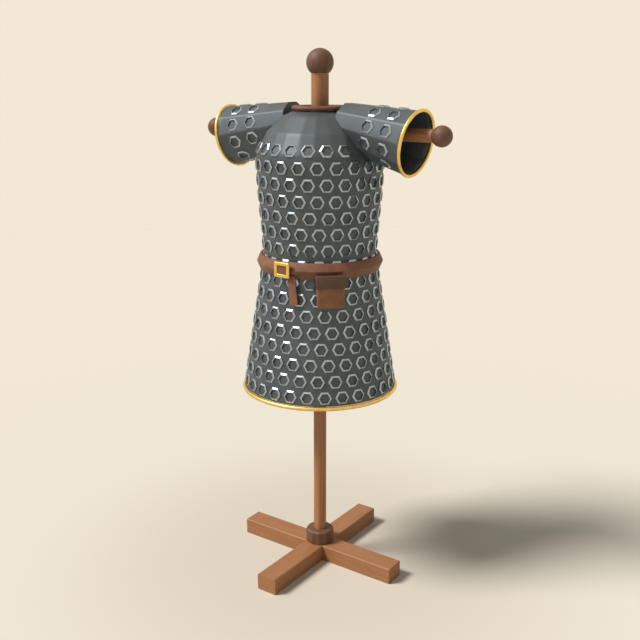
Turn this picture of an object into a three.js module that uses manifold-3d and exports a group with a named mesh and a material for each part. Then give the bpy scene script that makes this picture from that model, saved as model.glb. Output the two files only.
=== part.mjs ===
// A sleeved ring-mail hauberk, belted and filled out, standing on a turned wooden stand.
// Millimetres, +Z up. The origin is on the floor under the pole. The front faces -Y and the
// wearer's left arm points along +X.

import * as THREE from 'three';
import { mergeVertices } from 'three/addons/utils/BufferGeometryUtils.js';
import Module from 'manifold-3d';

const wasm = await Module();
wasm.setup();

// ---- Driving dimensions -------------------------------------------------------------------

const SEAM_GAP = 0.3; // between pieces that touch
const CLOTH = 3; // thickness of the fine mail

// Body: radius of the outside of the cloth at each height, from the hem up to the neck.
const BODY_ROWS = [
  { place: 'hem', z: 636.2, radius: 245 },
  { place: 'low skirt', z: 770, radius: 224 },
  { place: 'high skirt', z: 910, radius: 201.5 },
  { place: 'under belt', z: 1012, radius: 185 },
  { place: 'waist', z: 1044, radius: 179.5 },
  { place: 'over belt', z: 1080, radius: 178.5 },
  { place: 'ribs', z: 1140, radius: 181 },
  { place: 'low chest', z: 1190, radius: 185.5 },
  { place: 'chest', z: 1240, radius: 190 },
  { place: 'high chest', z: 1305, radius: 194 },
  { place: 'armpit', z: 1386, radius: 195 },
  { place: 'shoulder point', z: 1400, radius: 190 },
  { place: 'shoulder', z: 1443, radius: 164.5 },
  { place: 'neck base', z: 1492, radius: 111 },
  { place: 'neck edge', z: 1505.6, radius: 80 },
];
const BODY_STEPS = 26; // flats round each half of the body

// Sleeves: a cone along a straight, drooping axis. Distances are measured from the pole.
const SLEEVE = {
  innerX: 92,
  innerZ: 1466.4,
  innerRadius: 67.5,
  cuffX: 336.9,
  cuffZ: 1420.2,
  cuffRadius: 96,
  steps: 30, // flats round the sleeve
  rows: 6,
};
const ARMHOLE_X = 105; // the body is whole from the neck out to here
const ARMHOLE_REACH = 140; // how far out the armhole cut runs from there

// Edgings: round tubes laid on the cut edges of the cloth.
const NECK_TRIM = { radius: 79.5, z: 1513.5, tube: 7.5 };
const HEM_TRIM = { radius: 247.2, z: 629.4, tube: 6.4 };
const CUFF_TRIM = { radius: 95.3, tube: 5.1 };

// Belt: the outside rises to a soft ridge at mid height.
const BELT = { bottom: 1018.5, ridgeZ: 1045, top: 1068.5, bottomRadius: 187.5, ridgeRadius: 200, topRadius: 188.5 };
const BUCKLE = { width: 55.9, height: 47.1, bar: 10.5, depth: 8.5, x: 4.8, z: 1045.9, front: 209.5 };
const TAIL = { width: 23.3, thickness: 5, length: 88, point: 4, topZ: 1027, back: 194.2 };
const TAIL_ANGLES = { round: 9.2, slant: 6.6, lean: 6.5 }; // degrees: round the belt, sideways, outwards
const POUCH = { topWidth: 87, bottomWidth: 79, height: 97, depth: 20.7, corner: 6, topZ: 1034.5, back: 197.2 };
const POUCH_ANGLES = { round: 43.6, lean: 5 };
const FLAP = { width: 90.5, drop: 38, thickness: 3 };

// Stand.
const LEG = { half: 300, width: 70.8, height: 54, chamfer: 2.5 };
const COLLAR = { radius: 47, height: 47, chamfer: 5 };
const POLE_RADIUS = 21;
const POST = { radius: 26.7, bottom: 1392, bore: 19.6 };
const BAR = { radius: 19.2, z: 1443.6 };
const TOP_BALL = { radius: 41.7, z: 1646.7 };
const ARM_BALL = { radius: 30.6, x: 418.5 };
const ROUND_STEPS = 32;

// ---- Materials ----------------------------------------------------------------------------

const MATERIALS = {
  cloth: material('#575b5c', 0.75, 0.1),
  leather: material('#74503c', 0.6, 0),
  darkLeather: material('#544033', 0.6, 0),
  gold: material('#d8a24c', 0.35, 0.9),
  wood: material('#9d6c47', 0.55, 0),
  darkWood: material('#5e4435', 0.55, 0),
};

/** A standard material from a colour, a roughness and a metalness. */
function material(color, roughness, metalness) {
  return new THREE.MeshStandardMaterial({ color, roughness, metalness });
}

// ---- Solid helpers ------------------------------------------------------------------------

/** Turns a closed geometry into a manifold solid. */
function toSolid(geometry) {
  const bare = geometry.clone();
  bare.deleteAttribute('normal');
  bare.deleteAttribute('uv');
  const merged = mergeVertices(bare, 1e-4);
  const mesh = new wasm.Mesh({
    numProp: 3,
    vertProperties: new Float32Array(merged.attributes.position.array),
    triVerts: new Uint32Array(merged.index.array),
  });
  mesh.merge();
  return new wasm.Manifold(mesh);
}

/** Turns a manifold solid back into a geometry. */
function toGeometry(solid) {
  const mesh = solid.getMesh();
  const geometry = new THREE.BufferGeometry();
  geometry.setAttribute('position', new THREE.BufferAttribute(new Float32Array(mesh.vertProperties), 3));
  geometry.setIndex(new THREE.BufferAttribute(new Uint32Array(mesh.triVerts), 1));
  geometry.computeVertexNormals();
  return geometry;
}

/** Returns the first geometry with every cutter taken away. */
function cut(geometry, ...cutters) {
  return toGeometry(cutters.reduce((solid, cutter) => solid.subtract(toSolid(cutter)), toSolid(geometry)));
}

/** Makes one named mesh. */
function piece(name, geometry, finish) {
  const mesh = new THREE.Mesh(geometry, finish);
  mesh.name = name;
  return mesh;
}

/** A solid of revolution about Z from [radius, z] pairs that start and end on the axis or close. */
function lathe(outline, steps = ROUND_STEPS) {
  const geometry = new THREE.LatheGeometry(outline.map(([radius, z]) => new THREE.Vector2(radius, z)), steps);
  return geometry.rotateX(Math.PI / 2);
}

/** A closed ring about Z whose section is a circle. */
function tubeRing(radius, tube, steps, sides = 8) {
  return new THREE.TorusGeometry(radius, tube, sides, steps);
}

/**
 * Closes two grids of points, an outer and an inner skin, into one wall.
 * Both are grid[row][column]. Columns run round the piece, and join up when it is a whole ring.
 */
function wall(outer, inner, wholeRing) {
  const rows = outer.length;
  const columns = outer[0].length;
  const positions = [...outer.flat(), ...inner.flat()].flatMap((point) => point.toArray());
  const faces = [];
  const out = (row, column) => row * columns + (column % columns);
  const into = (row, column) => rows * columns + out(row, column);
  const quad = (a, b, c, d) => faces.push(a, b, c, a, c, d);
  const spans = wholeRing ? columns : columns - 1;
  for (let column = 0; column < spans; column += 1) {
    const next = column + 1;
    for (let row = 0; row < rows - 1; row += 1) {
      quad(out(row, column), out(row, next), out(row + 1, next), out(row + 1, column));
      quad(into(row, next), into(row, column), into(row + 1, column), into(row + 1, next));
    }
    quad(into(0, column), into(0, next), out(0, next), out(0, column));
    quad(out(rows - 1, column), out(rows - 1, next), into(rows - 1, next), into(rows - 1, column));
  }
  if (!wholeRing) {
    const last = columns - 1;
    for (let row = 0; row < rows - 1; row += 1) {
      quad(into(row, 0), out(row, 0), out(row + 1, 0), into(row + 1, 0));
      quad(out(row, last), into(row, last), into(row + 1, last), out(row + 1, last));
    }
  }
  const geometry = new THREE.BufferGeometry();
  geometry.setAttribute('position', new THREE.Float32BufferAttribute(positions, 3));
  geometry.setIndex(faces);
  geometry.computeVertexNormals();
  return geometry;
}

// ---- Body ---------------------------------------------------------------------------------

/** The body rows moved out by a distance, square to the surface (in when it is negative). */
function offsetBodyRows(distance) {
  return BODY_ROWS.map((row, index) => {
    const below = BODY_ROWS[Math.max(index - 1, 0)];
    const above = BODY_ROWS[Math.min(index + 1, BODY_ROWS.length - 1)];
    const rise = new THREE.Vector2(above.radius - below.radius, above.z - below.z).normalize();
    const isEdge = index === 0 || index === BODY_ROWS.length - 1;
    if (isEdge) return { radius: row.radius + distance / Math.max(rise.y, 0.4), z: row.z };
    return { radius: row.radius + rise.y * distance, z: row.z - rise.x * distance };
  });
}

/** Points of one half of the body: the front when side is -1, the back when side is +1. */
function bodyHalfGrid(rows, side) {
  return rows.map(({ radius, z }) => {
    const reach = Math.acos(SEAM_GAP / 2 / radius);
    return Array.from({ length: BODY_STEPS + 1 }, (_, column) => {
      const angle = reach * ((2 * column) / BODY_STEPS - 1);
      return new THREE.Vector3(-side * radius * Math.sin(angle), side * radius * Math.cos(angle), z);
    });
  });
}

/** A filled form of the whole body, its outside moved out by a distance. */
function bodyForm(distance) {
  const outline = offsetBodyRows(distance).map(({ radius, z }) => [radius, z]);
  const top = outline[outline.length - 1][1];
  return lathe([[0, outline[0][1]], ...outline, [0, top]], 2 * BODY_STEPS);
}

/** One body panel, from the hem over the shoulder to the neck, with its two half armholes. */
function bodyPanel(side) {
  const panel = wall(bodyHalfGrid(BODY_ROWS, side), bodyHalfGrid(offsetBodyRows(-CLOTH), side), false);
  return cut(panel, armholeCutter(1), armholeCutter(-1));
}

// ---- Sleeves ------------------------------------------------------------------------------

const SLEEVE_DROOP = Math.atan2(SLEEVE.innerZ - SLEEVE.cuffZ, SLEEVE.cuffX - SLEEVE.innerX);

/** One ring of points round a sleeve, a share of the way from its inner end to its cuff. */
function sleeveRing(share, distance, side) {
  const centre = new THREE.Vector3(
    THREE.MathUtils.lerp(SLEEVE.innerX, SLEEVE.cuffX, share),
    0,
    THREE.MathUtils.lerp(SLEEVE.innerZ, SLEEVE.cuffZ, share),
  );
  const radius = THREE.MathUtils.lerp(SLEEVE.innerRadius, SLEEVE.cuffRadius, share) + distance;
  return Array.from({ length: SLEEVE.steps }, (_, column) => {
    const angle = (-side * 2 * Math.PI * column) / SLEEVE.steps;
    const up = radius * Math.cos(angle);
    const point = new THREE.Vector3(Math.sin(SLEEVE_DROOP) * up, radius * Math.sin(angle), Math.cos(SLEEVE_DROOP) * up);
    point.add(centre);
    point.x *= side;
    return point;
  });
}

/** Rings of points along a sleeve between two shares of its length. */
function sleeveGrid(from, to, distance, side) {
  return Array.from({ length: SLEEVE.rows + 1 }, (_, row) =>
    sleeveRing(THREE.MathUtils.lerp(from, to, row / SLEEVE.rows), distance, side));
}

/** The share of the sleeve's length at a distance out from the pole. */
function sleeveShare(x) {
  return (x - SLEEVE.innerX) / (SLEEVE.cuffX - SLEEVE.innerX);
}

/** A solid plug of the sleeve's hollow, outside the armhole line, that opens the body there. */
function armholeCutter(side) {
  const grid = sleeveGrid(sleeveShare(ARMHOLE_X), sleeveShare(ARMHOLE_X + ARMHOLE_REACH), -CLOTH, side);
  return plug(grid);
}

/** Closes a grid of rings with a flat fan at each end. */
function plug(grid) {
  const columns = grid[0].length;
  const centreOf = (ring) => ring.reduce((sum, point) => sum.add(point), new THREE.Vector3()).divideScalar(columns);
  const positions = [...grid.flat(), centreOf(grid[0]), centreOf(grid[grid.length - 1])].flatMap((point) => point.toArray());
  const first = grid.length * columns;
  const faces = [];
  for (let column = 0; column < columns; column += 1) {
    const next = (column + 1) % columns;
    for (let row = 0; row < grid.length - 1; row += 1) {
      const [a, b] = [row * columns + column, row * columns + next];
      faces.push(a, b, b + columns, a, b + columns, a + columns);
    }
    faces.push(first, next, column);
    const last = (grid.length - 1) * columns;
    faces.push(first + 1, last + column, last + next);
  }
  const geometry = new THREE.BufferGeometry();
  geometry.setAttribute('position', new THREE.Float32BufferAttribute(positions, 3));
  geometry.setIndex(faces);
  return geometry;
}

/** One sleeve: a tube sewn to the armhole, whose top laps over the shoulder towards the neck. */
function sleeve(side) {
  const trimGap = (CUFF_TRIM.tube + SEAM_GAP) / (SLEEVE.cuffX - SLEEVE.innerX);
  const tube = wall(sleeveGrid(0, 1 - trimGap, 0, side), sleeveGrid(0, 1 - trimGap, -CLOTH, side), true);
  return cut(tube, bodyForm(SEAM_GAP));
}

/** The edging round one cuff. */
function cuffTrim(side) {
  const ring = tubeRing(CUFF_TRIM.radius, CUFF_TRIM.tube, 36);
  ring.rotateY(Math.PI / 2 + side * SLEEVE_DROOP);
  return ring.translate(side * SLEEVE.cuffX, 0, SLEEVE.cuffZ);
}

// ---- Belt, buckle and pouch ---------------------------------------------------------------

/** The belt: a closed band round the waist with a ridged outside. */
function belt() {
  const inside = BODY_ROWS.find((row) => row.place === 'under belt').radius + SEAM_GAP;
  const edge = 2;
  return lathe([
    [inside, BELT.bottom + edge],
    [inside, BELT.bottom],
    [BELT.bottomRadius, BELT.bottom],
    [BELT.bottomRadius + edge, BELT.bottom + edge],
    [BELT.ridgeRadius, BELT.ridgeZ],
    [BELT.topRadius + edge, BELT.top - edge],
    [BELT.topRadius, BELT.top],
    [inside - edge, BELT.top],
    [inside - edge, BELT.ridgeZ],
    [inside, BELT.bottom + edge],
  ], 2 * BODY_STEPS);
}

/** A flat outline in X and Z, given as [x, z] pairs, extruded by a depth towards the front. */
function plate(outline, depth, holes = []) {
  const shape = new THREE.Shape(outline.map(([x, z]) => new THREE.Vector2(x, z)));
  shape.holes = holes.map((hole) => new THREE.Path(hole.map(([x, z]) => new THREE.Vector2(x, z))));
  return new THREE.ExtrudeGeometry(shape, { depth, bevelEnabled: false }).rotateX(Math.PI / 2);
}

/** The corners of an upright rectangle centred on the origin, in X and Z. */
function rectangle(width, height) {
  const [x, z] = [width / 2, height / 2];
  return [[-x, -z], [x, -z], [x, z], [-x, z]];
}

/** The square buckle frame. */
function buckle() {
  const hole = rectangle(BUCKLE.width - 2 * BUCKLE.bar, BUCKLE.height - 2 * BUCKLE.bar).reverse();
  const frame = plate(rectangle(BUCKLE.width, BUCKLE.height), BUCKLE.depth, [hole]);
  return frame.translate(BUCKLE.x, BUCKLE.depth - BUCKLE.front, BUCKLE.z);
}

/** The loose end of the belt, hanging beside the buckle. */
function beltTail() {
  const [x, z] = [TAIL.width / 2, -TAIL.length];
  const outline = [[-x, z + TAIL.point], [-x * 0.4, z], [x * 0.4, z], [x, z + TAIL.point], [x, 0], [-x, 0]];
  const strap = plate(outline, TAIL.thickness).rotateY(-THREE.MathUtils.degToRad(TAIL_ANGLES.slant));
  return hangOnBelt(strap, TAIL, TAIL_ANGLES);
}

/** Leans a hanging piece along the skirt and turns it round to its place on the belt. */
function hangOnBelt(geometry, { back, topZ }, { lean, round }) {
  geometry.rotateX(-THREE.MathUtils.degToRad(lean)).translate(0, -back, topZ);
  return geometry.rotateZ(THREE.MathUtils.degToRad(round));
}

/** The pouch: narrower towards the bottom, with its lower corners cut off. */
function pouchBody() {
  const [wide, narrow, c] = [POUCH.topWidth / 2, POUCH.bottomWidth / 2, POUCH.corner];
  const [top, bottom] = [-FLAP.thickness - SEAM_GAP, -POUCH.height];
  const outline = [
    [-narrow + c, bottom],
    [narrow - c, bottom],
    [narrow, bottom + c],
    [wide, top],
    [-wide, top],
    [-narrow, bottom + c],
  ];
  return hangOnBelt(plate(outline, POUCH.depth), POUCH, POUCH_ANGLES);
}

/** The flap: over the top of the pouch and down its front. */
function pouchFlap() {
  const front = POUCH.depth + SEAM_GAP;
  const outline = [
    [0, 0],
    [0, -FLAP.thickness],
    [front, -FLAP.thickness],
    [front, -FLAP.drop],
    [front + FLAP.thickness, -FLAP.drop],
    [front + FLAP.thickness, 0],
  ];
  const shape = new THREE.Shape(outline.map(([depth, z]) => new THREE.Vector2(depth, z)));
  const flap = new THREE.ExtrudeGeometry(shape, { depth: FLAP.width, bevelEnabled: false });
  flap.rotateX(Math.PI / 2).rotateZ(-Math.PI / 2).translate(FLAP.width / 2, 0, 0);
  return hangOnBelt(flap, POUCH, POUCH_ANGLES);
}

// ---- Stand --------------------------------------------------------------------------------

/** The corners of a leg's section, with small chamfers, in width and height. */
function legSection() {
  const [w, h, c] = [LEG.width / 2, LEG.height, LEG.chamfer];
  return [[-w + c, 0], [w - c, 0], [w, c], [w, h - c], [w - c, h], [-w + c, h], [-w, h - c], [-w, c]];
}

/** One foot beam along X, with half its height cut away where the other one crosses. */
function leg(isNotchedAbove) {
  const shape = new THREE.Shape(legSection().map(([across, up]) => new THREE.Vector2(across, up)));
  const beam = new THREE.ExtrudeGeometry(shape, { depth: 2 * LEG.half, bevelEnabled: false });
  beam.rotateX(Math.PI / 2).rotateZ(Math.PI / 2).translate(-LEG.half, 0, 0);
  const size = LEG.width + 2 * SEAM_GAP;
  const notch = new THREE.BoxGeometry(size, LEG.width + 2, LEG.height);
  const middle = LEG.height / 2 - SEAM_GAP / 2;
  notch.translate(0, 0, isNotchedAbove ? middle + LEG.height / 2 : middle - LEG.height / 2 + SEAM_GAP);
  return cut(beam, notch);
}

/** The turned collar round the foot of the pole. */
function collar() {
  const [bottom, top] = [LEG.height + SEAM_GAP, LEG.height + COLLAR.height];
  const bore = POLE_RADIUS + SEAM_GAP;
  return lathe([
    [bore, bottom],
    [COLLAR.radius, bottom],
    [COLLAR.radius, top - COLLAR.chamfer],
    [COLLAR.radius - COLLAR.chamfer, top],
    [bore, top],
    [bore, bottom],
  ]);
}

/** A plain turned rod about Z between two heights. */
function rod(radius, bottom, top) {
  return lathe([[0, bottom], [radius, bottom], [radius, top], [0, top]]);
}

/** A ball about Z, centred at the origin, with a flat seat below where a rod of a radius meets it. */
function ball(radius, rodRadius) {
  const start = Math.asin(rodRadius / radius);
  const steps = 9;
  const arc = Array.from({ length: steps + 1 }, (_, index) => {
    const angle = THREE.MathUtils.lerp(start, Math.PI, index / steps);
    return [index === steps ? 0 : radius * Math.sin(angle), -radius * Math.cos(angle)];
  });
  return lathe([[0, arc[0][1]], ...arc]);
}

/** How far a ball's seat lies from its centre. */
function seatDistance(radius, rodRadius) {
  return Math.sqrt(radius ** 2 - rodRadius ** 2);
}

/** The neck post, bored through for the crossbar. */
function neckPost() {
  const top = TOP_BALL.z - seatDistance(TOP_BALL.radius, POST.radius) - SEAM_GAP;
  const bore = rod(POST.bore, -2 * POST.radius, 2 * POST.radius).rotateY(Math.PI / 2).translate(0, 0, BAR.z);
  return cut(rod(POST.radius, POST.bottom, top), bore);
}

/** The crossbar that stands in for the arms. */
function crossbar() {
  const reach = ARM_BALL.x - seatDistance(ARM_BALL.radius, BAR.radius) - SEAM_GAP;
  return rod(BAR.radius, -reach, reach).rotateY(Math.PI / 2).translate(0, 0, BAR.z);
}

/** The ball on one end of the crossbar. */
function armBall(side) {
  return ball(ARM_BALL.radius, BAR.radius).rotateY((side * Math.PI) / 2).translate(side * ARM_BALL.x, 0, BAR.z);
}

// ---- The object ---------------------------------------------------------------------------

/** The garment's panels and edgings. */
function garment() {
  const neck = tubeRing(NECK_TRIM.radius, NECK_TRIM.tube, 2 * BODY_STEPS).translate(0, 0, NECK_TRIM.z);
  const hem = tubeRing(HEM_TRIM.radius, HEM_TRIM.tube, 2 * BODY_STEPS).translate(0, 0, HEM_TRIM.z);
  return [
    piece('body_front', bodyPanel(-1), MATERIALS.cloth),
    piece('body_back', bodyPanel(1), MATERIALS.cloth),
    piece('sleeve_left', sleeve(1), MATERIALS.cloth),
    piece('sleeve_right', sleeve(-1), MATERIALS.cloth),
    piece('neck_trim', neck, MATERIALS.leather),
    piece('hem_trim', hem, MATERIALS.gold),
    piece('cuff_trim_left', cuffTrim(1), MATERIALS.gold),
    piece('cuff_trim_right', cuffTrim(-1), MATERIALS.gold),
  ];
}

/** What is worn round the waist. */
function waistPieces() {
  return [
    piece('belt', belt(), MATERIALS.leather),
    piece('buckle', buckle(), MATERIALS.gold),
    piece('belt_tail', beltTail(), MATERIALS.leather),
    piece('pouch_body', pouchBody(), MATERIALS.leather),
    piece('pouch_flap', pouchFlap(), MATERIALS.darkLeather),
  ];
}

/** The stand: two crossed foot beams, the collar, the pole, the post, the bar and the balls. */
function stand() {
  const topBall = ball(TOP_BALL.radius, POST.radius).translate(0, 0, TOP_BALL.z);
  return [
    piece('leg_across', leg(true), MATERIALS.wood),
    piece('leg_along', leg(false).rotateZ(Math.PI / 2), MATERIALS.wood),
    piece('base_collar', collar(), MATERIALS.darkWood),
    piece('pole', rod(POLE_RADIUS, LEG.height + SEAM_GAP, POST.bottom - SEAM_GAP), MATERIALS.wood),
    piece('neck_post', neckPost(), MATERIALS.wood),
    piece('crossbar', crossbar(), MATERIALS.wood),
    piece('ball_top', topBall, MATERIALS.darkWood),
    piece('ball_left', armBall(1), MATERIALS.darkWood),
    piece('ball_right', armBall(-1), MATERIALS.darkWood),
  ];
}

const group = new THREE.Group();
group.name = 'hauberk_on_stand';
group.add(...garment(), ...waistPieces(), ...stand());

export default group;
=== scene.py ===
"""A belted ring-mail hauberk on a wooden stand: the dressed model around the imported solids.

The garment is fine dark mail, cut as a front, a back and two sleeves, with large pale
hexagonal rings laid over it. Gilt edgings, a leather neck binding, a ridged belt with its
buckle, loose end and pouch, and the stand complete it. Metres, +Z up, the front faces -Y
and the wearer's left is +X. Sizes in the classes are in millimetres.
"""

from __future__ import annotations

import logging
import math
from collections.abc import Callable, Iterable, Sequence
from dataclasses import dataclass, field
from enum import Enum

import bmesh
import bpy
from mathutils import Matrix, Vector

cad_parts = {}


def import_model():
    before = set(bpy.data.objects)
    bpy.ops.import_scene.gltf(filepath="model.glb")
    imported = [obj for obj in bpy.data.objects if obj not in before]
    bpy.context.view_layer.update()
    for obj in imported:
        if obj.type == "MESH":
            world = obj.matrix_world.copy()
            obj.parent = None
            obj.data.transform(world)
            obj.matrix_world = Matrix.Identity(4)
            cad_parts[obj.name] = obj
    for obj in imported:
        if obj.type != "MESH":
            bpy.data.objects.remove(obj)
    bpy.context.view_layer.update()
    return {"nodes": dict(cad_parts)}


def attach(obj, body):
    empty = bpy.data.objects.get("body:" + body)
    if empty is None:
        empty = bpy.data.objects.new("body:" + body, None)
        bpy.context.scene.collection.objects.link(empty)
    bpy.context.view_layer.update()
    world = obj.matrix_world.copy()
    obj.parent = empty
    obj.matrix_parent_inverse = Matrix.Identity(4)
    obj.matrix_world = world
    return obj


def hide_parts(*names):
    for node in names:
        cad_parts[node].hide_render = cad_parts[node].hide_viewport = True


MM = 0.001
BODY = "root"

log = logging.getLogger("hauberk")

Grid = list[list[Vector]]
Span = tuple[float, float]

WHOLE = (0.0, 1.0)  # the full span of a value


class Side(Enum):
    """Which arm a piece belongs to, as the sign of its X."""

    LEFT = 1
    RIGHT = -1

    @property
    def word(self) -> str:
        """The side as it stands in a piece's name."""
        return self.name.lower()


class Half(Enum):
    """Which half of the body a panel covers, by the angle of its middle from the front."""

    FRONT = 0
    BACK = 180

    @property
    def word(self) -> str:
        """The half as it stands in a piece's name."""
        return self.name.lower()


class Grain(Enum):
    """The way the grain of a piece of wood runs."""

    X = 0
    Y = 1
    Z = 2


# ---- Colours and nodes --------------------------------------------------------------------


def linear(colour: str) -> tuple[float, float, float, float]:
    """Turns an sRGB hex colour to linear.

    Args:
        colour: The colour, such as "#9d6c47".

    Returns:
        Linear red, green, blue and an alpha of one.
    """
    parts = (int(colour[place : place + 2], 16) / 255 for place in (1, 3, 5))
    red, green, blue = (
        part / 12.92 if part <= 0.04045 else ((part + 0.055) / 1.055) ** 2.4 for part in parts
    )
    return red, green, blue, 1.0


def add_node(
    tree: bpy.types.NodeTree,
    kind: str,
    inputs: dict[str | int, object] | None = None,
    **settings: object,
) -> bpy.types.Node:
    """Adds one node to a tree.

    Args:
        tree: The tree the node goes into.
        kind: The node's type name.
        inputs: For each input, by name or number, a value or the socket that feeds it.
        settings: The node's own settings.

    Returns:
        The new node.
    """
    node = tree.nodes.new(kind)
    for name, value in settings.items():
        setattr(node, name, value)
    for name, value in (inputs or {}).items():
        if isinstance(value, bpy.types.NodeSocket):
            tree.links.new(value, node.inputs[name])
        else:
            node.inputs[name].default_value = value
    return node


def new_material(name: str) -> tuple[bpy.types.Material, bpy.types.NodeTree]:
    """Makes an empty node material.

    Args:
        name: The material's name.

    Returns:
        The material and its empty tree.
    """
    material = bpy.data.materials.new(name)
    material.use_nodes = True
    material.node_tree.nodes.clear()
    return material, material.node_tree


def object_place(tree: bpy.types.NodeTree) -> bpy.types.NodeSocket:
    """Gives the Object coordinates."""
    return add_node(tree, "ShaderNodeTexCoord").outputs["Object"]


def noise(
    tree: bpy.types.NodeTree,
    place: bpy.types.NodeSocket,
    width: float,
    detail: float,
    roughness: float = 0.5,
) -> bpy.types.NodeSocket:
    """Draws noise.

    Args:
        tree: The material's tree.
        place: The coordinates.
        width: How wide a patch is, in millimetres.
        detail: The noise's detail.
        roughness: How strong the detail is.

    Returns:
        The noise, from 0 to 1.
    """
    inputs = {"Vector": place, "Scale": 1 / (width * MM), "Detail": detail, "Roughness": roughness}
    return add_node(tree, "ShaderNodeTexNoise", inputs).outputs["Fac"]


def spread(
    tree: bpy.types.NodeTree, value: bpy.types.NodeSocket, source: Span, target: Span, **settings: object
) -> bpy.types.NodeSocket:
    """Carries a value from one span to another and holds it within its ends.

    Args:
        tree: The material's tree.
        value: The value.
        source: The span it comes from.
        target: The span it goes to.
        settings: Settings of the node.

    Returns:
        The value in the target span.
    """
    inputs = {
        "Value": value,
        "From Min": source[0],
        "From Max": source[1],
        "To Min": target[0],
        "To Max": target[1],
    }
    return add_node(tree, "ShaderNodeMapRange", inputs, **settings).outputs[0]


def blend(
    tree: bpy.types.NodeTree, share: bpy.types.NodeSocket, first: str, second: str
) -> bpy.types.NodeSocket:
    """Blends two sRGB hex colours.

    Args:
        tree: The material's tree.
        share: The share of the second colour.
        first: The first colour.
        second: The second colour.

    Returns:
        The colour.
    """
    inputs = {0: share, 6: linear(first), 7: linear(second)}
    return add_node(tree, "ShaderNodeMix", inputs, data_type="RGBA").outputs[2]


def scaled(
    tree: bpy.types.NodeTree, colour: bpy.types.NodeSocket, factor: bpy.types.NodeSocket
) -> bpy.types.NodeSocket:
    """Makes a colour lighter or darker by a factor."""
    inputs = {0: colour, "Scale": factor}
    return add_node(tree, "ShaderNodeVectorMath", inputs, operation="SCALE").outputs["Vector"]


def raised(
    tree: bpy.types.NodeTree, height: bpy.types.NodeSocket, strength: float, depth: float, **settings: object
) -> bpy.types.NodeSocket:
    """Turns a height into a bumped normal.

    Args:
        tree: The material's tree.
        height: The height.
        strength: How strong the bump is.
        depth: How deep it is, in millimetres.
        settings: Settings of the node.

    Returns:
        The normal.
    """
    inputs = {"Height": height, "Strength": strength, "Distance": depth * MM}
    return add_node(tree, "ShaderNodeBump", inputs, **settings).outputs["Normal"]


def finish_surface(tree: bpy.types.NodeTree, inputs: dict[str | int, object]) -> None:
    """Adds the surface shader and the output.

    Args:
        tree: The material's tree.
        inputs: The inputs of the surface shader.
    """
    shader = add_node(tree, "ShaderNodeBsdfPrincipled", inputs)
    add_node(tree, "ShaderNodeOutputMaterial", {"Surface": shader.outputs["BSDF"]})


# ---- Finishes -----------------------------------------------------------------------------


@dataclass(frozen=True)
class BlackenedMail:
    """Fine four-in-one mail of blackened steel wire, worn as the ground of the garment.

    Rows of small linked wire rings give a dark, faintly pebbled grey cloth. The links
    measure about 6 mm and are drawn coarser, so that they show. The colour follows the
    links' height as painted shade: the gaps between links and the flanks of each wire are
    darker, the crests of the wire lighter.
    """

    name: str = "blackened_steel_mail"
    link_pitch: float = 9.0
    link_radius: float = 0.40
    wire: float = 0.17
    # painted shade: the colour of the gaps between the links and of the wire's flanks
    painted_shade_colour: str = "#474e51"
    wire_colour: str = "#575f63"
    patch: float = 70.0
    lattice_height: float = 0.81
    lean: float = 0.19

    def build(self) -> bpy.types.Material:
        """Makes the material."""
        material, tree = new_material(self.name)
        cloth = add_node(tree, "ShaderNodeUVMap", uv_map="cloth").outputs["UV"]
        pitch = self.link_pitch * MM
        links = add_node(
            tree, "ShaderNodeVectorMath", {0: cloth, 1: (1 / pitch, 1 / pitch, 0)}, operation="MULTIPLY"
        ).outputs["Vector"]
        high = self.lattice(tree, links, (0.0, 0.0, 0.0), -self.lean)
        low = self.lattice(tree, links, (0.5, 0.5, 0.0), self.lean)
        height = add_node(tree, "ShaderNodeMath", {0: high, 1: low}, operation="MAXIMUM").outputs[0]
        cloud = noise(tree, object_place(tree), self.patch, 3.0)
        # painted shade: the colour darkens with the links' height, in the gaps and down the wire's flanks
        base = blend(tree, height, self.painted_shade_colour, self.wire_colour)
        surface = {
            "Base Color": scaled(tree, base, spread(tree, cloud, (0.3, 0.7), (0.86, 1.14))),
            "Metallic": 0.4,
            "Roughness": spread(tree, cloud, WHOLE, (0.42, 0.6)),
            "Normal": raised(tree, height, 0.1, 0.8),
        }
        finish_surface(tree, surface)
        return material

    def lattice(
        self,
        tree: bpy.types.NodeTree,
        links: bpy.types.NodeSocket,
        shift: tuple[float, float, float],
        lean: float,
    ) -> bpy.types.NodeSocket:
        """Draws one lattice of wire links, each leaning to one side.

        Args:
            tree: The material's tree.
            links: Cloth coordinates in links.
            shift: How far the lattice lies from the first one, in links.
            lean: How much higher a link's left side lies than its middle.

        Returns:
            The height of the wire.
        """
        moved = add_node(tree, "ShaderNodeVectorMath", {0: links, 1: shift}, operation="ADD").outputs[0]
        cell = add_node(tree, "ShaderNodeVectorMath", {0: moved}, operation="FRACTION").outputs[0]
        centre = {0: cell, 1: (0.5, 0.5, 0.0)}
        middle = add_node(tree, "ShaderNodeVectorMath", centre, operation="SUBTRACT").outputs[0]
        reach = add_node(tree, "ShaderNodeVectorMath", {0: middle}, operation="LENGTH").outputs["Value"]
        ring = {0: reach, 1: self.link_radius}
        off = add_node(tree, "ShaderNodeMath", ring, operation="SUBTRACT").outputs[0]
        away = add_node(tree, "ShaderNodeMath", {0: off}, operation="ABSOLUTE").outputs[0]
        wire = spread(tree, away, (0.0, self.wire), (1.0, 0.0), interpolation_type="SMOOTHSTEP")
        across = add_node(tree, "ShaderNodeSeparateXYZ", {0: middle}).outputs["X"]
        sides = (self.lattice_height + lean, self.lattice_height - lean)
        height = {0: wire, 1: spread(tree, across, (-0.5, 0.5), sides)}
        return add_node(tree, "ShaderNodeMath", height, operation="MULTIPLY").outputs[0]


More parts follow.
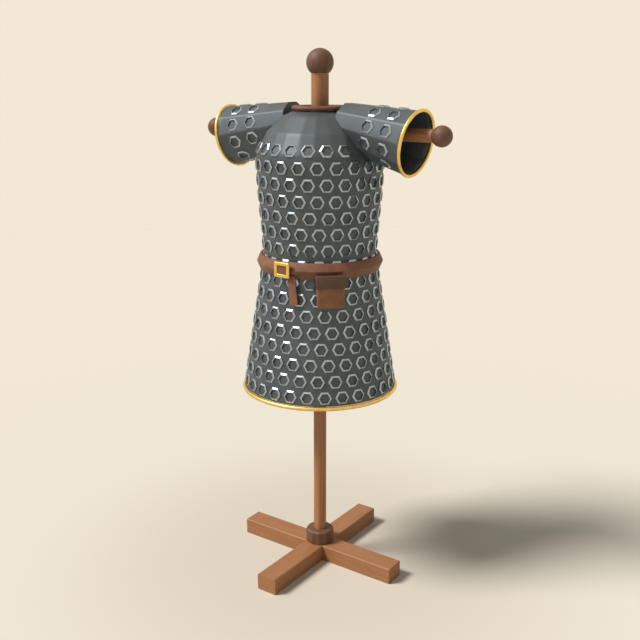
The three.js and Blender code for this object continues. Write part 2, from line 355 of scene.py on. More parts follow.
@dataclass(frozen=True)
class BareMetal:
    """Bare metal that was filed, polished and handled: clear glints that soften in patches."""

    name: str
    colour: str
    worn_colour: str
    roughness: tuple[float, float]
    patch: float = 9.0
    scratch: float = 0.7

    def build(self) -> bpy.types.Material:
        """Makes the material."""
        material, tree = new_material(self.name)
        place = object_place(tree)
        cloud = noise(tree, place, self.patch, 4.0)
        file_marks = noise(tree, place, self.scratch, 2.0)
        worn = spread(tree, cloud, (0.35, 0.7), WHOLE)
        surface = {
            "Base Color": blend(tree, worn, self.colour, self.worn_colour),
            "Metallic": 1.0,
            "Roughness": spread(tree, cloud, (0.3, 0.7), self.roughness),
            "Normal": raised(tree, file_marks, 0.12, 0.1),
        }
        finish_surface(tree, surface)
        return material


@dataclass(frozen=True)
class TannedLeather:
    """Vegetable-tanned cowhide, waxed: a satin brown with a pebbled grain, uneven dye and painted shade between the
    pebbles.
    """

    name: str
    colour: str
    dark_colour: str
    grain: float = 2.2
    patch: float = 28.0
    crease: float = 6.0

    def build(self) -> bpy.types.Material:
        """Makes the material."""
        material, tree = new_material(self.name)
        place = object_place(tree)
        dye = noise(tree, place, self.patch, 5.0)
        grain = {"Vector": place, "Scale": 1 / (self.grain * MM), "Smoothness": 0.6}
        pebble = add_node(tree, "ShaderNodeTexVoronoi", grain, feature="SMOOTH_F1").outputs["Distance"]
        crease = noise(tree, place, self.crease, 6.0, 0.65)
        tone = blend(tree, spread(tree, dye, (0.36, 0.66), WHOLE), self.dark_colour, self.colour)
        both = {0: crease, 1: 0.6, 2: pebble}
        relief = add_node(tree, "ShaderNodeMath", both, operation="MULTIPLY_ADD").outputs[0]
        surface = {
            # painted shade: the colour darkens between the pebbles, where the grain sinks
            "Base Color": scaled(tree, tone, spread(tree, pebble, (0.1, 0.75), (1.05, 0.86))),
            "Roughness": spread(tree, dye, WHOLE, (0.54, 0.74)),
            "Normal": raised(tree, relief, 0.3, 0.6, invert=True),
            "IOR": 1.5,
        }
        finish_surface(tree, surface)
        return material


@dataclass(frozen=True)
class StainedBeech:
    """Beech, turned or planed, stained and oiled: fine straight grain with short dark flecks."""

    name: str
    colour: str
    dark_colour: str
    grain: Grain = Grain.Z
    ring_width: float = 7.0
    fleck_width: float = 1.6

    def build(self) -> bpy.types.Material:
        """Makes the material."""
        material, tree = new_material(self.name)
        place = object_place(tree)
        rings = self.drawn_out(tree, place, self.ring_width, 26.0, 3.0)
        flecks = self.drawn_out(tree, place, self.fleck_width, 14.0, 2.0)
        tone = blend(tree, spread(tree, rings, (0.34, 0.68), WHOLE), self.dark_colour, self.colour)
        surface = {
            "Base Color": scaled(tree, tone, spread(tree, flecks, (0.35, 0.7), (0.9, 1.06))),
            "Roughness": spread(tree, rings, WHOLE, (0.5, 0.66)),
            "Normal": raised(tree, flecks, 0.2, 0.3),
            "IOR": 1.5,
        }
        finish_surface(tree, surface)
        return material

    def drawn_out(
        self,
        tree: bpy.types.NodeTree,
        place: bpy.types.NodeSocket,
        width: float,
        stretch: float,
        detail: float,
    ) -> bpy.types.NodeSocket:
        """Draws noise that runs along the grain.

        Args:
            tree: The material's tree.
            place: Object coordinates.
            width: How wide one streak is.
            stretch: How many times as long as wide it is.
            detail: The noise's detail.

        Returns:
            The noise.
        """
        scale = [1 / (width * MM)] * 3
        scale[self.grain.value] /= stretch
        along = add_node(tree, "ShaderNodeMapping", {"Vector": place, "Scale": tuple(scale)}).outputs[0]
        return add_node(
            tree, "ShaderNodeTexNoise", {"Vector": along, "Scale": 1.0, "Detail": detail}
        ).outputs["Fac"]


@dataclass(frozen=True)
class WaxedThread:
    """Waxed linen thread, two-ply: short twisted stitches a little darker than the leather."""

    name: str = "waxed_linen_thread"
    colour: str = "#5a3f2c"
    light_colour: str = "#8a6a4c"
    twist: float = 0.9

    def build(self) -> bpy.types.Material:
        """Makes the material."""
        material, tree = new_material(self.name)
        ply = noise(tree, object_place(tree), self.twist, 1.0)
        surface = {
            "Base Color": blend(tree, ply, self.colour, self.light_colour),
            "Roughness": 0.7,
            "Normal": raised(tree, ply, 0.3, 0.2),
        }
        finish_surface(tree, surface)
        return material


@dataclass
class Finishes:
    """Every material of the object, made once."""

    mail: bpy.types.Material = field(default_factory=lambda: BlackenedMail().build())
    steel: bpy.types.Material = field(
        default_factory=lambda: BareMetal("polished_mild_steel", "#abb5bf", "#959ea7", (0.26, 0.38)).build()
    )
    gilt: bpy.types.Material = field(
        default_factory=lambda: BareMetal("gilded_brass", "#f0cb72", "#dcb25c", (0.3, 0.44), patch=22.0).build()
    )
    neck_leather: bpy.types.Material = field(
        default_factory=lambda: TannedLeather("waxed_cowhide_neck", "#7d533c", "#643f2c").build()
    )
    belt_leather: bpy.types.Material = field(
        default_factory=lambda: TannedLeather("waxed_cowhide_belt", "#8a5b41", "#714832").build()
    )
    pouch_leather: bpy.types.Material = field(
        default_factory=lambda: TannedLeather("waxed_cowhide_pouch", "#97643c", "#7d502e").build()
    )
    flap_leather: bpy.types.Material = field(
        default_factory=lambda: TannedLeather("waxed_cowhide_flap", "#604433", "#4f3729").build()
    )
    thread: bpy.types.Material = field(default_factory=lambda: WaxedThread().build())
    upright_wood: bpy.types.Material = field(
        default_factory=lambda: StainedBeech("stained_beech_upright", "#b68055", "#9d6840").build()
    )
    bar_wood: bpy.types.Material = field(
        default_factory=lambda: StainedBeech("stained_beech_bar", "#b68055", "#9d6840", Grain.X).build()
    )
    across_wood: bpy.types.Material = field(
        default_factory=lambda: StainedBeech("stained_beech_across", "#aa754c", "#9e683e", Grain.X).build()
    )
    along_wood: bpy.types.Material = field(
        default_factory=lambda: StainedBeech("stained_beech_along", "#aa754c", "#9e683e", Grain.Y).build()
    )
    dark_wood: bpy.types.Material = field(
        default_factory=lambda: StainedBeech("dark_stained_beech", "#724f39", "#63422e").build()
    )


# ---- Modelling ----------------------------------------------------------------------------


def start_clean() -> None:
    """Leaves edit mode and deselects everything."""
    if bpy.context.mode != "OBJECT":
        bpy.ops.object.mode_set(mode="OBJECT")
    bpy.ops.object.select_all(action="DESELECT")


def named(name: str) -> bpy.types.Object:
    """Names the primitive just added.

    Args:
        name: The piece's name.

    Returns:
        The object.
    """
    made = bpy.context.object
    made.name = name
    made.data.name = name
    return made


def pick(obj: bpy.types.Object) -> None:
    """Makes one object the only one selected, and active."""
    start_clean()
    obj.select_set(True)
    bpy.context.view_layer.objects.active = obj


def select(
    obj: bpy.types.Object,
    faces: Callable[[bmesh.types.BMFace], bool] | None = None,
    edges: Callable[[bmesh.types.BMEdge], bool] | None = None,
) -> None:
    """Selects faces or edges of the object that is being edited.

    Args:
        obj: The object, in edit mode.
        faces: True for each face to select.
        edges: True for each edge to select.
    """
    bpy.ops.mesh.select_all(action="DESELECT")
    bpy.ops.mesh.select_mode(type="FACE" if faces else "EDGE")
    mesh = bmesh.from_edit_mesh(obj.data)
    for part in mesh.faces if faces else mesh.edges:
        part.select_set(bool((faces or edges)(part)))
    mesh.select_flush_mode()
    bmesh.update_edit_mesh(obj.data)


def runs_back(edge: bmesh.types.BMEdge) -> bool:
    """Whether an edge runs from front to back."""
    return abs(edge.verts[0].co.y - edge.verts[1].co.y) > MM


def apply_modifier(obj: bpy.types.Object, kind: str, **settings: object) -> None:
    """Adds a modifier and applies it.

    Args:
        obj: The object.
        kind: The modifier's type.
        settings: Its settings.
    """
    pick(obj)
    modifier = obj.modifiers.new(kind.lower(), kind)
    for name, value in settings.items():
        setattr(modifier, name, value)
    bpy.ops.object.modifier_apply(modifier=modifier.name)


def soften(obj: bpy.types.Object, width: float, segments: int, angle: float) -> None:
    """Rounds an object's sharp edges.

    Args:
        obj: The object.
        width: How wide the rounding is, in millimetres.
        segments: How many steps it has.
        angle: The least angle of an edge that is rounded, in degrees.
    """
    apply_modifier(
        obj,
        "BEVEL",
        width=width * MM,
        segments=segments,
        limit_method="ANGLE",
        angle_limit=math.radians(angle),
    )


def block(
    name: str, size: tuple[float, float, float], centre: tuple[float, float, float] = (0.0, 0.0, 0.0)
) -> bpy.types.Object:
    """Shapes a cube to a block and leaves it in edit mode with all of it selected.

    Args:
        name: The piece's name.
        size: Its size, in millimetres.
        centre: Its centre.

    Returns:
        The block.
    """
    start_clean()
    bpy.ops.mesh.primitive_cube_add(size=1.0)
    made = named(name)
    bpy.ops.object.mode_set(mode="EDIT")
    bpy.ops.mesh.select_all(action="SELECT")
    bpy.ops.transform.resize(value=[part * MM for part in size])
    if any(centre):
        bpy.ops.transform.translate(value=[part * MM for part in centre])
    return made


def smooth(obj: bpy.types.Object, angle: float = 40.0) -> None:
    """Shades an object smooth, but for edges sharper than an angle in degrees."""
    pick(obj)
    bpy.ops.object.shade_smooth_by_angle(angle=math.radians(angle))


def settle(obj: bpy.types.Object, place: Matrix) -> None:
    """Puts an object's place into its mesh.

    Args:
        obj: The object, as it was modelled.
        place: Where it goes from there.
    """
    obj.data.transform(place @ obj.matrix_basis)
    obj.matrix_basis = Matrix.Identity(4)


def dress(
    obj: bpy.types.Object, material: bpy.types.Material, slot: str, *nodes: str
) -> bpy.types.Object:
    """Gives a finished piece its material and ties it to the frame.

    Args:
        obj: The piece.
        material: Its material.
        slot: The name of a material slot; not used.
        nodes: The solids it stands for.

    Returns:
        The piece.
    """
    obj.data.materials.clear()
    obj.data.materials.append(material)
    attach(obj, BODY)
    if nodes:
        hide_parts(*nodes)
    log.info("%s: %d faces", obj.name, len(obj.data.polygons))
    return obj


def turned(
    name: str, outline: Sequence[tuple[float, float]], steps: int = 96, closed: bool = False
) -> bpy.types.Object:
    """Spins an outline about the Z axis.

    Args:
        name: The piece's name.
        outline: Radius and height of each point, in millimetres, from the bottom up.
        steps: How many steps go round.
        closed: Whether the last point joins the first, as in a ring.

    Returns:
        The turned piece.
    """
    start_clean()
    bpy.ops.mesh.primitive_circle_add(vertices=len(outline), radius=MM, fill_type="NOTHING")
    made = named(name)
    bpy.ops.object.mode_set(mode="EDIT")
    mesh = bmesh.from_edit_mesh(made.data)
    mesh.verts.ensure_lookup_table()
    for vertex, (radius, height) in zip(mesh.verts, outline):
        vertex.co = (radius * MM, 0.0, height * MM)
    if not closed:
        ends = {mesh.verts[0], mesh.verts[-1]}
        bmesh.ops.delete(mesh, geom=[edge for edge in mesh.edges if set(edge.verts) == ends], context="EDGES")
    bmesh.update_edit_mesh(made.data)
    bpy.ops.mesh.select_all(action="SELECT")
    bpy.ops.mesh.spin(steps=steps, angle=math.tau, center=(0, 0, 0), axis=(0, 0, 1))
    bpy.ops.mesh.select_all(action="SELECT")
    bpy.ops.mesh.remove_doubles(threshold=1e-6)
    bpy.ops.mesh.normals_make_consistent(inside=False)
    bpy.ops.object.mode_set(mode="OBJECT")
    return made


def arc(
    centre: tuple[float, float], radius: float, start: float, end: float, steps: int
) -> list[tuple[float, float]]:
    """Points on an arc in a section.

    Args:
        centre: Radius and height of the arc's centre.
        radius: The arc's radius.
        start: The first angle, in degrees, from straight out towards up.
        end: The last angle.
        steps: How many steps lie between them.

    Returns:
        Radius and height of each point.
    """
    angles = (math.radians(start + (end - start) * step / steps) for step in range(steps + 1))
    return [(centre[0] + radius * math.cos(angle), centre[1] + radius * math.sin(angle)) for angle in angles]


def facing(origin: Vector, along: Vector, outward: Vector) -> Matrix:
    """A place whose X runs along one direction and whose Z points out of a surface.

    Args:
        origin: The place.
        along: The direction of X, which is straightened against outward.
        outward: The direction of Z.

    Returns:
        The matrix.
    """
    out = outward.normalized()
    across = (along - along.dot(out) * out).normalized()
    matrix = Matrix((across, out.cross(across), out)).transposed().to_4x4()
    matrix.translation = origin
    return matrix


def strew(name: str, pattern: bpy.types.Object, places: Iterable[Matrix]) -> bpy.types.Object:
    """Copies a small shape to many places and joins the copies into one piece.

    Args:
        name: The piece's name.
        pattern: The shape, which stays as it is.
        places: Where the copies go.

    Returns:
        The joined piece.
    """
    start_clean()
    copies = []
    for place in places:
        copy = pattern.copy()
        copy.data = pattern.data.copy()
        copy.data.transform(place)
        bpy.context.scene.collection.objects.link(copy)
        copy.select_set(True)
        copies.append(copy)
    bpy.context.view_layer.objects.active = copies[0]
    bpy.ops.object.join()
    return named(name)


def cloth_wall(
    name: str, outer: Grid, inner: Grid, flat: list[list[tuple[float, float]]], whole_ring: bool
) -> bpy.types.Object:
    """Closes two grids of points, an outer and an inner skin, into one sheet of cloth.

    Args:
        name: The piece's name.
        outer: Outer points by row and column, in metres.
        inner: Inner points in the same order.
        flat: Cloth coordinates of each point, in metres, with one column more on a whole ring.
        whole_ring: Whether the last column joins the first.

    Returns:
        The sheet.
    """
    rows, columns = len(outer), len(outer[0])
    points = [point for grid in (outer, inner) for row in grid for point in row]
    faces: list[tuple[int, ...]] = []
    laid: list[tuple[float, float]] = []

    def quad(*corners: tuple[bool, int, int]) -> None:
        """Adds one face from corners given as inner or outer, row and column."""
        faces.append(
            tuple((inside * rows + row) * columns + column % columns for inside, row, column in corners)
        )
        laid.extend(flat[row][column] for _, row, column in corners)

    spans = columns if whole_ring else columns - 1
    last = rows - 1
    for column in range(spans):
        after = column + 1
        for row in range(last):
            quad((False, row, column), (False, row, after), (False, row + 1, after), (False, row + 1, column))
            quad((True, row, after), (True, row, column), (True, row + 1, column), (True, row + 1, after))
        quad((True, 0, column), (True, 0, after), (False, 0, after), (False, 0, column))
        quad((False, last, column), (False, last, after), (True, last, after), (True, last, column))
    if not whole_ring:
        edge = columns - 1
        for row in range(last):
            quad((True, row, 0), (False, row, 0), (False, row + 1, 0), (True, row + 1, 0))
            quad((False, row, edge), (True, row, edge), (True, row + 1, edge), (False, row + 1, edge))
    mesh = bpy.data.meshes.new(name)
    mesh.from_pydata(points, [], faces)
    layer = mesh.uv_layers.new(name="cloth")
    layer.data.foreach_set("uv", [part for pair in laid for part in pair])
    made = bpy.data.objects.new(name, mesh)
    bpy.context.scene.collection.objects.link(made)
    return made


def flattened(angle: float, flats: int, strength: float) -> float:
    """How far a round section is drawn in towards a polygon with that many flats.

    Args:
        angle: The angle round the section, from the middle of a flat.
        flats: How many flats go round.
        strength: 0 leaves it round, 1 makes it a true polygon.

    Returns:
        A factor for the radius.
    """
    width = math.tau / flats
    fold = (angle + width / 2) % width - width / 2
    return 1 + strength * (math.cos(width / 2) / math.cos(fold) - 1)


# ---- The garment --------------------------------------------------------------------------


@dataclass
class BodyForm:
    """The filled-out shape of the hauberk's body: a curve from the hem up, straight in the yoke."""

    rows: tuple[tuple[float, float], ...] = (
        (636.2, 245.0),
        (770.0, 224.0),
        (910.0, 201.5),
        (1012.0, 185.0),
        (1044.0, 179.5),
        (1080.0, 178.5),
        (1140.0, 181.0),
        (1190.0, 185.5),
        (1240.0, 190.0),
        (1305.0, 194.0),
        (1386.0, 195.0),
        (1443.0, 164.5),
        (1492.0, 111.0),
        (1505.6, 80.0),
    )
    flats: int = 24
    yoke_strength: float = 1.0
    skirt_strength: float = 0.45
    yoke_bottom: float = 1360.0
    yoke_blend: float = 40.0
    crisp_from: float = 1386.0
    fineness: int = 24
    curve: list[tuple[float, float]] = field(default_factory=list)
    lengths: list[float] = field(default_factory=list)

    def __post_init__(self) -> None:
        """Draws the smooth curve through the rows and measures along it."""
        points = [Vector((radius, height)) for height, radius in self.rows]
        ends = [2 * points[0] - points[1], *points, 2 * points[-1] - points[-2]]
        for place in range(len(points) - 1):
            before, start, end, after = ends[place : place + 4]
            span = (end - start).length
            leave = (end - before) / ((start - before).length + span) * span
            arrive = (after - start) / ((after - end).length + span) * span
            if start.y >= self.crisp_from:
                leave = arrive = end - start
            for step in range(self.fineness):
                share = step / self.fineness
                self.curve.append(tuple(self.hermite(start, end, leave, arrive, share)))
        self.curve.append(tuple(points[-1]))
        total = 0.0
        for index, point in enumerate(self.curve):
            if index:
                total += math.dist(point, self.curve[index - 1])
            self.lengths.append(total)

    @staticmethod
    def hermite(start: Vector, end: Vector, leave: Vector, arrive: Vector, share: float) -> Vector:
        """A point on a cubic that leaves and arrives in given directions."""
        square, cube = share**2, share**3
        return (
            (2 * cube - 3 * square + 1) * start
            + (cube - 2 * square + share) * leave
            + (3 * square - 2 * cube) * end
            + (cube - square) * arrive
        )

    @property
    def length(self) -> float:
        """The length of the curve, in millimetres."""
        return self.lengths[-1]

    def along(self, distance: float) -> tuple[float, float, float, float]:
        """Finds a point on the curve.

        Args:
            distance: How far it lies from the hem, along the curve.

        Returns:
            Its radius and height, and the outward direction's two parts.
        """
        low, high = 0, len(self.lengths) - 1
        while high - low > 1:
            middle = (low + high) // 2
            low, high = (middle, high) if self.lengths[middle] <= distance else (low, middle)
        (r0, z0), (r1, z1) = self.curve[low], self.curve[high]
        span = self.lengths[high] - self.lengths[low]
        share = (distance - self.lengths[low]) / span
        return r0 + (r1 - r0) * share, z0 + (z1 - z0) * share, (z1 - z0) / span, -(r1 - r0) / span

    def at_height(self, height: float) -> float:
        """The distance along the curve at a height."""
        low, high = 0.0, self.length
        while high - low > 0.01:
            middle = (low + high) / 2
            low, high = (middle, high) if self.along(middle)[1] <= height else (low, middle)
        return (low + high) / 2

    def radius(self, height: float) -> float:
        """The outside radius at a height, or 0 above the neck."""
        return self.along(self.at_height(height))[0] if height < self.rows[-1][0] else 0.0

    def strength(self, height: float) -> float:
        """How strong the upright flats are at a height."""
        share = min(max((height - self.yoke_bottom) / self.yoke_blend, 0.0), 1.0)
        return self.skirt_strength + (self.yoke_strength - self.skirt_strength) * share

    def point(self, angle: float, distance: float, depth: float = 0.0) -> Vector:
        """A point on the body.

        Args:
            angle: The angle from the front towards the wearer's left.
            distance: How far it lies from the hem, along the curve.
            depth: How far it lies inside the outer face, in millimetres.

        Returns:
            The point, in metres.
        """
        radius, height, out, up = self.along(distance)
        radius = radius * flattened(angle + math.pi / self.flats, self.flats, self.strength(height)) - out * depth
        height -= up * depth
        return Vector((radius * math.sin(angle), -radius * math.cos(angle), height)) * MM

    def outward(self, angle: float, distance: float) -> Vector:
        """The direction square to the cloth at a place."""
        _, _, out, up = self.along(distance)
        return Vector((out * math.sin(angle), -out * math.cos(angle), up))


@dataclass
class SleeveForm:
    """The filled-out shape of a sleeve: a drooping cone with ten soft flats along it."""

    inner_x: float = 92.0
    inner_z: float = 1466.4
    inner_radius: float = 67.5
    cuff_x: float = 336.9
    cuff_z: float = 1420.2
    cuff_radius: float = 96.0
    flats: int = 10
    strength: float = 0.9
    round_end: float = 0.06

    @property
    def droop(self) -> float:
        """How far the sleeve points down."""
        return math.atan2(self.inner_z - self.cuff_z, self.cuff_x - self.inner_x)

    @property
    def length(self) -> float:
        """The length of the axis, in millimetres."""
        return math.hypot(self.inner_z - self.cuff_z, self.cuff_x - self.inner_x)

    def share(self, distance: float) -> float:
        """The share of the sleeve's length at a distance out from the pole."""
        return (distance - self.inner_x) / (self.cuff_x - self.inner_x)

    def radius(self, share: float) -> float:
        """The radius over the corners of the flats."""
        return self.inner_radius + (self.cuff_radius - self.inner_radius) * share

    def axis(self, side: Side) -> Vector:
        """The direction from the shoulder to the cuff."""
        return Vector((side.value * math.cos(self.droop), 0.0, -math.sin(self.droop)))

    def centre(self, share: float, side: Side) -> Vector:
        """A point on the axis, in metres."""
        start = Vector((side.value * self.inner_x, 0.0, self.inner_z)) * MM
        return start + self.axis(side) * self.length * share * MM

    def spoke(self, angle: float, side: Side) -> Vector:
        """The direction from the axis to the cloth, at an angle from the top."""
        up = Vector((side.value * math.sin(self.droop), 0.0, math.cos(self.droop)))
        return math.cos(angle) * up + math.sin(angle) * Vector((0.0, -side.value, 0.0))

    def point(self, angle: float, share: float, side: Side, depth: float = 0.0) -> Vector:
        """A point on the sleeve.

        Args:
            angle: The angle round the sleeve, from its top.
            share: The share of the way to the cuff.
            side: Which sleeve.
            depth: How far it lies inside the outer face, in millimetres.

        Returns:
            The point, in metres.
        """
        fade = min(max((1 - share) / self.round_end, 0.0), 1.0)
        factor = flattened(angle, self.flats, self.strength * fade)
        return self.centre(share, side) + self.spoke(angle, side) * (self.radius(share) * factor - depth) * MM

    def covers(self, point: Vector, margin: float) -> bool:
        """Whether a point lies in the sleeve's cone or nearer to it than a margin in millimetres."""
        side = Side.LEFT if point.x > 0 else Side.RIGHT
        away = point - self.centre(0.0, side)
        share = away.dot(self.axis(side)) / (self.length * MM)
        reach = (away - away.dot(self.axis(side)) * self.axis(side)).length
        return -0.05 < share < 1 and reach < (self.radius(share) + margin) * MM


@dataclass
class MailCloth:
    """The garment's four pieces of mail cloth: front, back and two sleeves."""

    body: BodyForm
    arm: SleeveForm
    thickness: float = 3.0
    seam_gap: float = 0.3
    armhole_x: float = 105.0
    armhole_reach: float = 140.0
    armhole_inset: float = 4.5
    panel_rows: int = 150
    panel_columns: int = 96
    sleeve_rows: int = 40
    sleeve_columns: int = 120
    cuff_gap: float = 5.0
    facing_rows: int = 6
    facing_gap: float = 0.2
    facing_lift: float = 0.5
    facing_reach: float = 60.0
    panel_width: float = 770.0
    sleeve_width: float = 603.0

    def panel(self, half: Half) -> bpy.types.Object:
        """Builds the front or the back, from the hem over the shoulders to the neck.

        Args:
            half: Which half of the body.

        Returns:
            The sheet, with its two half armholes.
        """
        middle = math.radians(half.value)
        outer, inner, flat = [], [], []
        for row in range(self.panel_rows + 1):
            distance = self.body.length * row / self.panel_rows
            radius = self.body.along(distance)[0]
            reach = math.pi / 2 - self.seam_gap / 2 / radius
            turns = [reach * (2 * column / self.panel_columns - 1) for column in range(self.panel_columns + 1)]
            outer.append([self.body.point(middle + turn, distance) for turn in turns])
            inner.append([self.body.point(middle + turn, distance, self.thickness) for turn in turns])
            flat.append([(turn * radius * MM, distance * MM) for turn in turns])
        made = cloth_wall(f"mail_{half.word}", outer, inner, flat, False)
        for side in Side:
            self.open_armhole(made, side)
        smooth(made, 50.0)
        return made

    def open_armhole(self, panel: bpy.types.Object, side: Side) -> None:
        """Cuts one armhole out of a panel, just inside the sleeve."""
        near, far = self.arm.share(self.armhole_x), self.arm.share(self.armhole_x + self.armhole_reach)
        start_clean()
        bpy.ops.mesh.primitive_cone_add(
            vertices=96,
            radius1=(self.arm.radius(near) - self.thickness - self.armhole_inset) * MM,
            radius2=(self.arm.radius(far) - self.thickness - self.armhole_inset) * MM,
            depth=(far - near) * self.arm.length * MM,
            location=self.arm.centre((near + far) / 2, side),
            rotation=self.arm.axis(side).to_track_quat("Z", "X").to_euler(),
        )
        cutter = named("armhole_cutter")
        apply_modifier(panel, "BOOLEAN", operation="DIFFERENCE", solver="EXACT", object=cutter)
        bpy.data.objects.remove(cutter)

    def sleeve_start(self, angle: float, side: Side, depth: float) -> float:
        """The share of the sleeve's length where it leaves the body's surface.

        Args:
            angle: The angle round the sleeve, from its top.
            side: Which sleeve.
            depth: 0 for the outer face, the thickness for the inner one.

        Returns:
            The share, which is 0 where the sleeve laps over the shoulder.
        """

        def clear(share: float) -> bool:
            """Whether the sleeve lies outside the body there."""
            point = self.arm.point(angle, share, side, depth) / MM
            return math.hypot(point.x, point.y) > self.body.radius(point.z) + self.seam_gap

        steps = 60
        start = next((step for step in range(steps, -1, -1) if not clear(step / steps)), None)
        if start is None:
            return 0.0
        low, high = start / steps, (start + 1) / steps
        while high - low > 1e-4:
            middle = (low + high) / 2
            low, high = (low, middle) if clear(middle) else (middle, high)
        return high

    def sleeve(self, side: Side) -> bpy.types.Object:
        """Builds one sleeve, from the armhole seam to the cuff.

        Args:
            side: Which sleeve.

        Returns:
            The sheet.
        """
        end = 1 - self.cuff_gap / self.arm.length
        angles = [math.tau * column / self.sleeve_columns for column in range(self.sleeve_columns)]
        skins: list[Grid] = []
        starts: list[list[float]] = []
        for depth in (0.0, self.thickness):
            begin = [self.sleeve_start(angle, side, depth) for angle in angles]
            starts.append(begin)
            skins.append(
                [
                    [
                        self.arm.point(angle, start + (end - start) * row / self.sleeve_rows, side, depth)
                        for angle, start in zip(angles, begin)
                    ]
                    for row in range(self.sleeve_rows + 1)
                ]
            )
        flat = []
        for row in range(self.sleeve_rows + 1):
            line = []
            for column in range(self.sleeve_columns + 1):
                start = starts[0][column % self.sleeve_columns]
                share = start + (end - start) * row / self.sleeve_rows
                turn = math.tau * column / self.sleeve_columns - math.pi
                line.append((turn * self.arm.radius(share) * MM, share * self.arm.length * MM))
            flat.append(line)
        made = cloth_wall(f"mail_sleeve_{side.word}", skins[0], skins[1], flat, True)
        lapped = [angle for angle, start in zip(angles, starts[0]) if start == 0.0]
        facing_piece = self.shoulder_facing(side, lapped)
        pick(made)
        facing_piece.select_set(True)
        bpy.ops.object.join()
        smooth(made, 50.0)
        return made

    def shoulder_facing(self, side: Side, angles: list[float]) -> bpy.types.Object:
        """Builds the half-moon of mail that closes the sleeve's upper end against the shoulder.

        Args:
            side: Which sleeve.
            angles: The angles round the sleeve at which it laps over the shoulder.

        Returns:
            The facing, which is joined into the sleeve.
        """
        up = self.arm.spoke(0.0, side)
        turns = sorted((angle + math.pi) % math.tau - math.pi for angle in angles)
        skins: list[Grid] = []
        for inward in (0.0, self.thickness):
            shift = self.arm.axis(side) * inward * MM
            grid: Grid = []
            for row in range(self.facing_rows + 1):
                line = []
                for turn in turns:
                    top = self.arm.point(turn, 0.0, side, self.facing_gap) + shift
                    drop = self.drop_to_body(top, up)
                    line.append(top - up * drop * (1 - row / self.facing_rows) * MM)
                grid.append(line)
            skins.append(grid)
        flat = [[(point.y, point.z) for point in line] for line in skins[0]]
        if side is Side.LEFT:
            skins = [[line[::-1] for line in skin] for skin in skins]
            flat = [line[::-1] for line in flat]
        return cloth_wall(f"shoulder_facing_{side.word}", skins[0], skins[1], flat, False)

    def drop_to_body(self, top: Vector, up: Vector) -> float:
        """How far below a point of the sleeve's end the body's surface lies, in millimetres."""
        low, high = 0.0, self.facing_reach
        while high - low > 0.05:
            middle = (low + high) / 2
            spot = (top - up * middle * MM) / MM
            inside = math.hypot(spot.x, spot.y) < self.body.radius(spot.z) + self.facing_lift
            low, high = (low, middle) if inside else (middle, high)
        return low


@dataclass
class MailRings:
    """The large pale hexagonal rings laid over the mail, in staggered rows."""

    body: BodyForm
    arm: SleeveForm
    over_corners: float = 44.0
    bar: float = 5.0
    inner_height: float = 4.4
    outer_height: float = 1.6
    sink: float = 0.3
    top_row: float = 1397.1
    row_pitch: float = 49.05
    counts: tuple[int, ...] = (22, 22, 22, 22, 21, 21, 21, 21, 21, 22, 23, 24, 25, 26, 27, 28)
    sleeve_margin: float = 19.0
    sleeve_columns: tuple[float, ...] = (212.0, 277.0)
    sleeve_count: int = 10
    seam_margin: float = 24.0

    def pattern(self) -> bpy.types.Object:
        """Models one ring: six mitred bars, their tops filed to slope outwards.

        Returns:
            The ring, corners pointing along X, its underside at Z zero.
        """
        outer = self.over_corners / 2 * math.cos(math.pi / 6)
        inner = outer - self.bar
        section = [
            (inner, 0.0),
            (outer - 0.5, 0.0),
            (outer, 0.5),
            (outer, self.outer_height),
            (inner + 0.2, self.inner_height),
        ]
        mitre = 1 / math.cos(math.pi / 6)
        made = turned("ring_pattern", [(across * mitre, up) for across, up in section], 6, closed=True)
        smooth(made, 12.0)
        return made

    @property
    def lift(self) -> float:
        """How far a ring's underside lies above the cloth, in metres."""
        return -self.sink * MM

    def body_places(self, half: Half) -> list[Matrix]:
        """Finds the places of the rings on the front or the back.

        Args:
            half: Which half of the body.

        Returns:
            One matrix for each ring.
        """
        places = []
        for row, count in enumerate(self.counts):
            distance = self.body.at_height(self.top_row - self.row_pitch * row)
            shift = 0.5 if row % 2 == 0 else 0.0
            for number in range(count):
                angle = math.tau * (number + shift) / count
                is_front = math.cos(angle) > 0
                outward = self.body.outward(angle, distance)
                centre = self.body.point(angle, distance) + outward * self.lift
                if is_front == (half is Half.FRONT) and not self.arm.covers(centre, self.sleeve_margin):
                    along = Vector((math.cos(angle), math.sin(angle), 0.0))
                    places.append(facing(centre, along, outward))
        return places

    def sleeve_places(self, side: Side) -> list[Matrix]:
        """Finds the places of the rings on one sleeve, one on each flat.

        Args:
            side: Which sleeve.

        Returns:
            One matrix for each ring.
        """
        taper = math.atan2(self.arm.cuff_radius - self.arm.inner_radius, self.arm.length)
        places = []
        for distance in self.sleeve_columns:
            share = self.arm.share(distance)
            for number in range(self.sleeve_count):
                angle = math.tau * number / self.sleeve_count
                spoke = self.arm.spoke(angle, side)
                outward = spoke * math.cos(taper) - self.arm.axis(side) * math.sin(taper)
                centre = self.arm.point(angle, share, side) + outward * self.lift
                if math.hypot(centre.x, centre.y) > (self.body.radius(centre.z / MM) + self.seam_margin) * MM:
                    places.append(facing(centre, self.arm.axis(side), outward))
        return places


